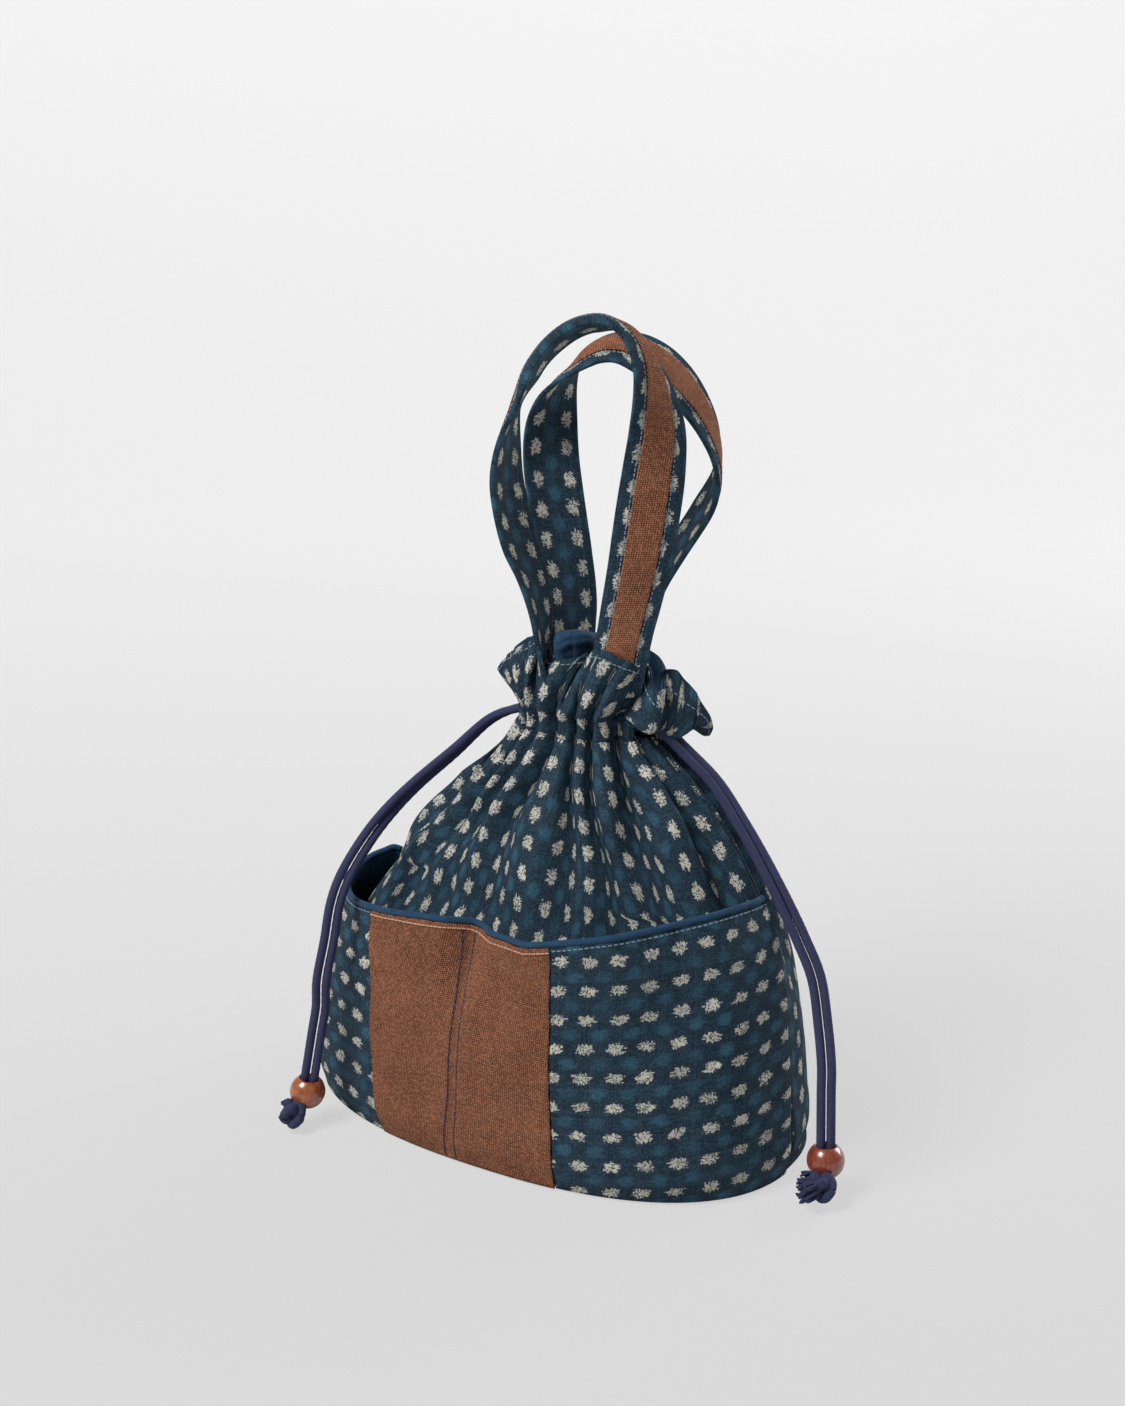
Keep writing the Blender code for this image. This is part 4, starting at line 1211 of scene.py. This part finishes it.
beads = {}
for side, centre, axis, dark, light in (
        ("left", LEFT_BEAD, LEFT_AXIS, (0.105, 0.024, 0.008), (0.33, 0.088, 0.024)),
        ("right", RIGHT_BEAD, RIGHT_AXIS, (0.085, 0.016, 0.008), (0.245, 0.047, 0.020))):
    stained = wood(f"{side}_wood", centre * MM, Vector(axis), dark, light)
    beads[side] = turned_bead(f"{side}_wooden_bead", centre, axis, stained)
    dress(beads[side], f"bead_{side}", f"{side}_bead_wood", f"{side}_bead")

# %% [markdown]
# Under each bead both strands end in one tight knot with short frayed ends. The knot is a
# cord that loops round itself, and the ends are small bundles of yarn that spread.

# %% Knots
LOOP_RADIUS, YARN_RADIUS = 2.45, 0.72
KNOT_HEIGHT, KNOT_DISH = 11.0, 2.4      # how high a knot is, and how deep its bead sits in it


def tie_knot(name, centre, seed, size, tuft):
    """A round knot of cord, with a tuft of loose yarns that spreads one way."""
    rng = np.random.default_rng(seed)
    turn = np.linspace(0, 2 * math.pi, 90)
    around = 4.1 + 1.9 * np.cos(3 * turn)
    wrap = np.stack((around * np.cos(2 * turn), around * np.sin(2 * turn), 2.6 * np.sin(3 * turn)), -1)
    loop = wrap * np.array(size) + centre
    pieces = [tube(name + "_loop", loop, LOOP_RADIUS, braid, around=12, braided=True)]
    way, length, count, width = tuft
    way = np.array(way, float) / np.linalg.norm(way)
    across = np.cross(way, (0, 0, 1.0))
    across /= np.linalg.norm(across)
    t = np.linspace(0, 1, 9)[:, None]
    for j in range(count):
        fan = rng.uniform(-1, 1)
        root = centre + across * fan * 3.6 + np.array((0, 0, rng.uniform(-3.0, 4.6)))
        reach = length * rng.uniform(0.75, 1.1) * (1 - 0.25 * fan ** 2)
        curl = rng.normal(0, 1.1, 3)
        yarn = (root + way * reach * t + across * fan * width * t ** 1.3
                + curl * np.sin(t * math.pi) + np.array((0, 0, rng.uniform(-3.0, 1.0))) * t ** 2)
        yarn[:, 2] = np.maximum(yarn[:, 2], 0.75)
        thinner = 1 - 0.3 * t[:, 0] ** 3
        pieces.append(tube(f"{name}_yarn{j}", yarn, YARN_RADIUS, braid, around=6, taper=thinner))
    join = bmesh.new()
    for piece in pieces:
        join.from_mesh(piece.data)
    mesh = bpy.data.meshes.new(name)
    join.to_mesh(mesh)
    join.free()
    for piece in pieces:
        bpy.data.objects.remove(piece, do_unlink=True)
    mesh.materials.append(braid)
    made = add_object(name, mesh)
    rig.slot(made, "braided_cord")
    return made


KNOT_DROP = KNOT_HEIGHT / 2 - KNOT_DISH + BEAD / 2
left_at = LEFT_BEAD - LEFT_AXIS * KNOT_DROP + np.array((0.4, -8.8, 3.6))
left_knot = tie_knot("left_cord_knot", left_at, 5, (0.74, 0.74, 1.65), ((-0.9, -0.3, 0.4), 6.5, 18, 2.2))
right_at = RIGHT_BEAD - RIGHT_AXIS * KNOT_DROP + np.array((2.4, -10.2, 4.6))
right_knot = tie_knot("right_cord_knot", right_at, 8, (0.80, 0.74, 1.5), ((-0.8, -0.6, -0.05), 10.5, 90, 5.5))
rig.replaces(left_knot, "knot_left")
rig.replaces(right_knot, "knot_right")

# %% Cords
for name, knot in (("left", left_knot), ("right", right_knot)):
    for part, route in cords[name].items():
        piece = tube(f"{name}_cord_{part}", route, CORD / 2, braid, around=24, braided=True)
        dress(piece, f"cord_{name}", "braided_cord")
        length = float(length_of(route)) * MM
        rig.cord(piece, exit=tuple(route[0] * MM), length=round(length, 3), diameter=CORD * MM,
                far_end="knot", stiffness="limp", lay="hanging", path=(route * MM).tolist(),
                with_pieces=[beads[name], knot] if part == "ring" else [])
    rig.ride(knot, "pouch")

# %% [markdown]
# Stitches are small and there are hundreds, so Geometry Nodes lay them: the tree walks
# along a line, sets a short thread at every step and turns it to follow the line.

# %% Stitches
def stitch_tree():
    tree = bpy.data.node_groups.new("stitches along a line", "GeometryNodeTree")
    tree.interface.new_socket("Line", in_out="INPUT", socket_type="NodeSocketGeometry")
    for label, value in (("Step", 0.0026), ("Stitch Length", 0.0017), ("Thread", 0.0003)):
        item = tree.interface.new_socket(label, in_out="INPUT", socket_type="NodeSocketFloat")
        item.default_value = value
    tree.interface.new_socket("Material", in_out="INPUT", socket_type="NodeSocketMaterial")
    tree.interface.new_socket("Stitches", in_out="OUTPUT", socket_type="NodeSocketGeometry")
    enter, leave = tree.nodes.new("NodeGroupInput"), tree.nodes.new("NodeGroupOutput")
    walk = tree.nodes.new("GeometryNodeCurveToPoints")
    walk.mode = "LENGTH"
    body = tree.nodes.new("GeometryNodeMeshCylinder")
    body.inputs["Vertices"].default_value = 6
    place = tree.nodes.new("GeometryNodeInstanceOnPoints")
    real = tree.nodes.new("GeometryNodeRealizeInstances")
    paint = tree.nodes.new("GeometryNodeSetMaterial")
    link = tree.links.new
    link(enter.outputs["Line"], walk.inputs["Curve"])
    link(enter.outputs["Step"], walk.inputs["Length"])
    link(enter.outputs["Thread"], body.inputs["Radius"])
    link(enter.outputs["Stitch Length"], body.inputs["Depth"])
    link(walk.outputs["Points"], place.inputs["Points"])
    link(walk.outputs["Rotation"], place.inputs["Rotation"])
    link(body.outputs["Mesh"], place.inputs["Instance"])
    link(place.outputs[0], real.inputs[0])
    link(real.outputs[0], paint.inputs["Geometry"])
    link(enter.outputs["Material"], paint.inputs["Material"])
    link(paint.outputs[0], leave.inputs[0])
    return tree


STITCHES = stitch_tree()


def sew(name, lines, finish, step=2.6, stitch=1.7, thread=0.3, slot="plain_cloth"):
    curve = bpy.data.curves.new(name, "CURVE")
    curve.dimensions = "3D"
    for line in lines:
        spline = curve.splines.new("POLY")
        spline.points.add(len(line) - 1)
        for point, at in zip(spline.points, line):
            point.co = (*(at * MM), 1.0)
    guide = add_object(name + "_guide", curve)
    work = guide.modifiers.new("stitches", "NODES")
    work.node_group = STITCHES
    choices = {"Step": step * MM, "Stitch Length": stitch * MM, "Thread": thread * MM, "Material": finish}
    for item in STITCHES.interface.items_tree:
        if item.in_out == "INPUT" and item.name in choices:
            work[item.identifier] = choices[item.name]
    bpy.context.view_layer.update()
    graph = bpy.context.evaluated_depsgraph_get()
    mesh = bpy.data.meshes.new_from_object(guide.evaluated_get(graph))
    mesh.name = name
    bpy.data.objects.remove(guide, do_unlink=True)
    piece = add_object(name, mesh)
    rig.slot(piece, slot)
    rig.ride(piece, "pouch")
    print(name, "faces", len(mesh.polygons))


def pocket_line(first, last, share, out, drop=0.0, count=120):
    degrees = np.linspace(first, last, count)
    rim = rim_height(degrees) - WALL_Z
    return pocket_points(degrees, share - drop / rim, out)


RIM_DROP, CANVAS_DROP = 1.4, 2.0       # how far below the rim a row of stitches runs
sew("rim_stitches", [pocket_line(182, LEFT_SEAM[1] - 1, 1.0, 3.0, RIM_DROP),
                     pocket_line(RIGHT_SEAM[1] + 1, WALL_END - 1, 1.0, 3.0, RIM_DROP)],
    blue_thread, slot="kasuri_cloth")
sew("canvas_stitches", [pocket_line(LEFT_SEAM[1] + 0.8, RIGHT_SEAM[1] - 0.5, 1.0, 3.75, CANVAS_DROP)],
    tan_thread, step=2.2, stitch=1.9, thread=0.36, slot="brown_canvas")

DIVIDER_HALF = 1.3     # two rows of stitches run this far to both sides, in degrees
down_wall = np.linspace(0.97, 0.03, 90)
divider_line = divider_at(down_wall)
divider_rows = [pocket_points(divider_line + side * DIVIDER_HALF, down_wall, 3.65) for side in (-1, 1)]
sew("divider_stitches", divider_rows, navy_thread, stitch=2.0, thread=0.36, slot="brown_canvas")
sew("handle_stitches", handle_seams, blue_thread, step=2.4, stitch=1.6, thread=0.28, slot="kasuri_cloth")

HEM_POINTS = 420
hem_degrees = np.linspace(186, 546, HEM_POINTS)
hem_levels = np.array([[2.86] * HEM_POINTS, [2.92] * HEM_POINTS])
hem_points = outer_points(np.stack((hem_degrees, hem_degrees)), hem_levels)
hem_line = hem_points[0] + grid_normals(hem_points)[0] * 0.55
sew("ruffle_stitches", [hem_line], blue_thread, thread=0.28, slot="kasuri_cloth")


def side_seam(degrees, out):
    level = np.linspace(0.03, 0.97, 200)
    degrees = np.full(200, degrees)
    return outer_points(degrees, level) + skin_normal(degrees, level) * out


sew("side_seam_stitches",
    [pocket_points(WALL_END - 0.7, down_wall, 1.5), pocket_points(WALL_START + 0.7, down_wall, 1.5),
     side_seam(360.9, 1.1), side_seam(179.1, 1.1)],
    navy_thread, step=3.0, stitch=2.4, slot="kasuri_cloth")

# %% [markdown]
# The base is a flat oval of the same cloth, on the floor under the walls.

# %% Base
BASE_LEVEL, BASE_THICK = 0.65, 1.2
base_degrees = np.linspace(0, 360, 180, endpoint=False)
base_ring = skin(base_degrees, np.zeros(180))
shares = np.linspace(0.02, 1.012, 24)[:, None, None]
centre = base_ring.mean(axis=0)
base_points = centre + (base_ring[None] - centre) * shares[::-1]
base_points[..., 2] = BASE_LEVEL
base_points = base_points[:, ::-1]
base_uv = base_points[..., :2].copy()
base_cloth = lay_cloth("base_cloth", base_points, base_uv, kasuri, BASE_THICK, closed=True)
dress(base_cloth, "base_panel", "kasuri_cloth")
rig.sheet(base_cloth, flat=(0.256, 0.157), area=0.0330, held="laid")

# %% [markdown]
# The setting is a pale seamless sheet: a floor that curves up behind the pouch. Its colour
# is a little lighter far away and a little darker near the camera, as in the photograph.
# One large soft lamp from the upper left, a weak one from the right and an even sky give
# soft shadows.

# %% Floor and light
FLOOR_NEAR, FLOOR_FAR, FLOOR_GLOW = (0.66, 0.66, 0.66), (0.93, 0.93, 0.93), 0.85


def floor_finish():
    """Pale paper, lighter far away, with some glow of its own in the camera's view."""
    made, tree, shader = new_finish("floor", {"Roughness": 1.0, "Specular IOR Level": 0.0})
    parts = add_node(tree, "SeparateXYZ", (own_place(tree),))
    x, y, z = (Signal(tree, output) for output in parts.outputs)
    depth = x * -math.sin(AZIMUTH) + y * math.cos(AZIMUTH)
    far_share = ease(tree, depth, -0.45, 1.6) * 0.75 + ease(tree, z, 0.0, 1.0) * 0.25
    tone = blend_colour(tree, far_share, FLOOR_NEAR, FLOOR_FAR)
    plug(tree, shader.inputs["Base Color"], tone)
    glow = add_node(tree, "Emission", (tone,))
    seen = Signal(tree, add_node(tree, "LightPath").outputs["Is Camera Ray"])
    looks = (Signal(tree, shader.outputs[0]), Signal(tree, glow.outputs[0]))
    mix = add_node(tree, "MixShader", (seen * FLOOR_GLOW, *looks))
    tree.links.new(mix.outputs[0], tree.nodes["Material Output"].inputs[0])
    return made


def floor_sheet():
    far, near, bend = 1.6, -1.4, 0.5
    profile = [(y, 0.0) for y in np.linspace(near, far, 14)]
    profile += [(far + bend * math.sin(a), bend * (1 - math.cos(a)))
                for a in np.linspace(0.1, math.pi / 2, 12)]
    profile += [(far + bend, bend + 2.2)]
    verts, faces = [], []
    turn = Matrix.Rotation(AZIMUTH, 3, "Z")
    for y, z in profile:
        for x in (-2.5, 2.5):
            verts.append(turn @ Vector((x, y, z)))
    for k in range(len(profile) - 1):
        faces.append((2 * k, 2 * k + 1, 2 * k + 3, 2 * k + 2))
    mesh = bpy.data.meshes.new("floor")
    mesh.from_pydata(verts, [], faces)
    mesh.polygons.foreach_set("use_smooth", [True] * len(mesh.polygons))
    mesh.materials.append(floor_finish())
    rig.stage(add_object("floor", mesh))


def soft_lamp(name, place, size, power, aim=(0, 0, 0.15)):
    lamp = bpy.data.lights.new(name, "AREA")
    lamp.shape = "SQUARE"
    lamp.size = size
    lamp.energy = power
    made = add_object(name, lamp)
    made.location = place
    made.rotation_euler = (Vector(place) - Vector(aim)).to_track_quat("Z", "Y").to_euler()


floor_sheet()
right_way = Vector((math.cos(AZIMUTH), math.sin(AZIMUTH), 0))
front_way = Vector((math.sin(AZIMUTH), -math.cos(AZIMUTH), 0))
soft_lamp("window", right_way * -1.1 + front_way * 0.7 + Vector((0, 0, 1.7)), 0.85, 48)
soft_lamp("fill", right_way * 1.6 - front_way * 0.9 + Vector((0, 0, 0.8)), 1.0, 27)
world = bpy.data.worlds.new("sky")
bpy.context.scene.world = world
world.use_nodes = True
sky = world.node_tree.nodes["Background"]
sky.inputs["Color"].default_value = (1, 1, 1, 1)
sky.inputs["Strength"].default_value = 0.33
bpy.context.scene.view_settings.view_transform = "Standard"

# %% Measure and finish
visual_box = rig.bounds()
with open("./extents.json", "w") as out:
    json.dump({"cad": [list(map(float, corner)) for corner in cad_box],
               "visual": [list(map(float, corner)) for corner in visual_box]}, out)
print("box of the dressed pouch:", visual_box)
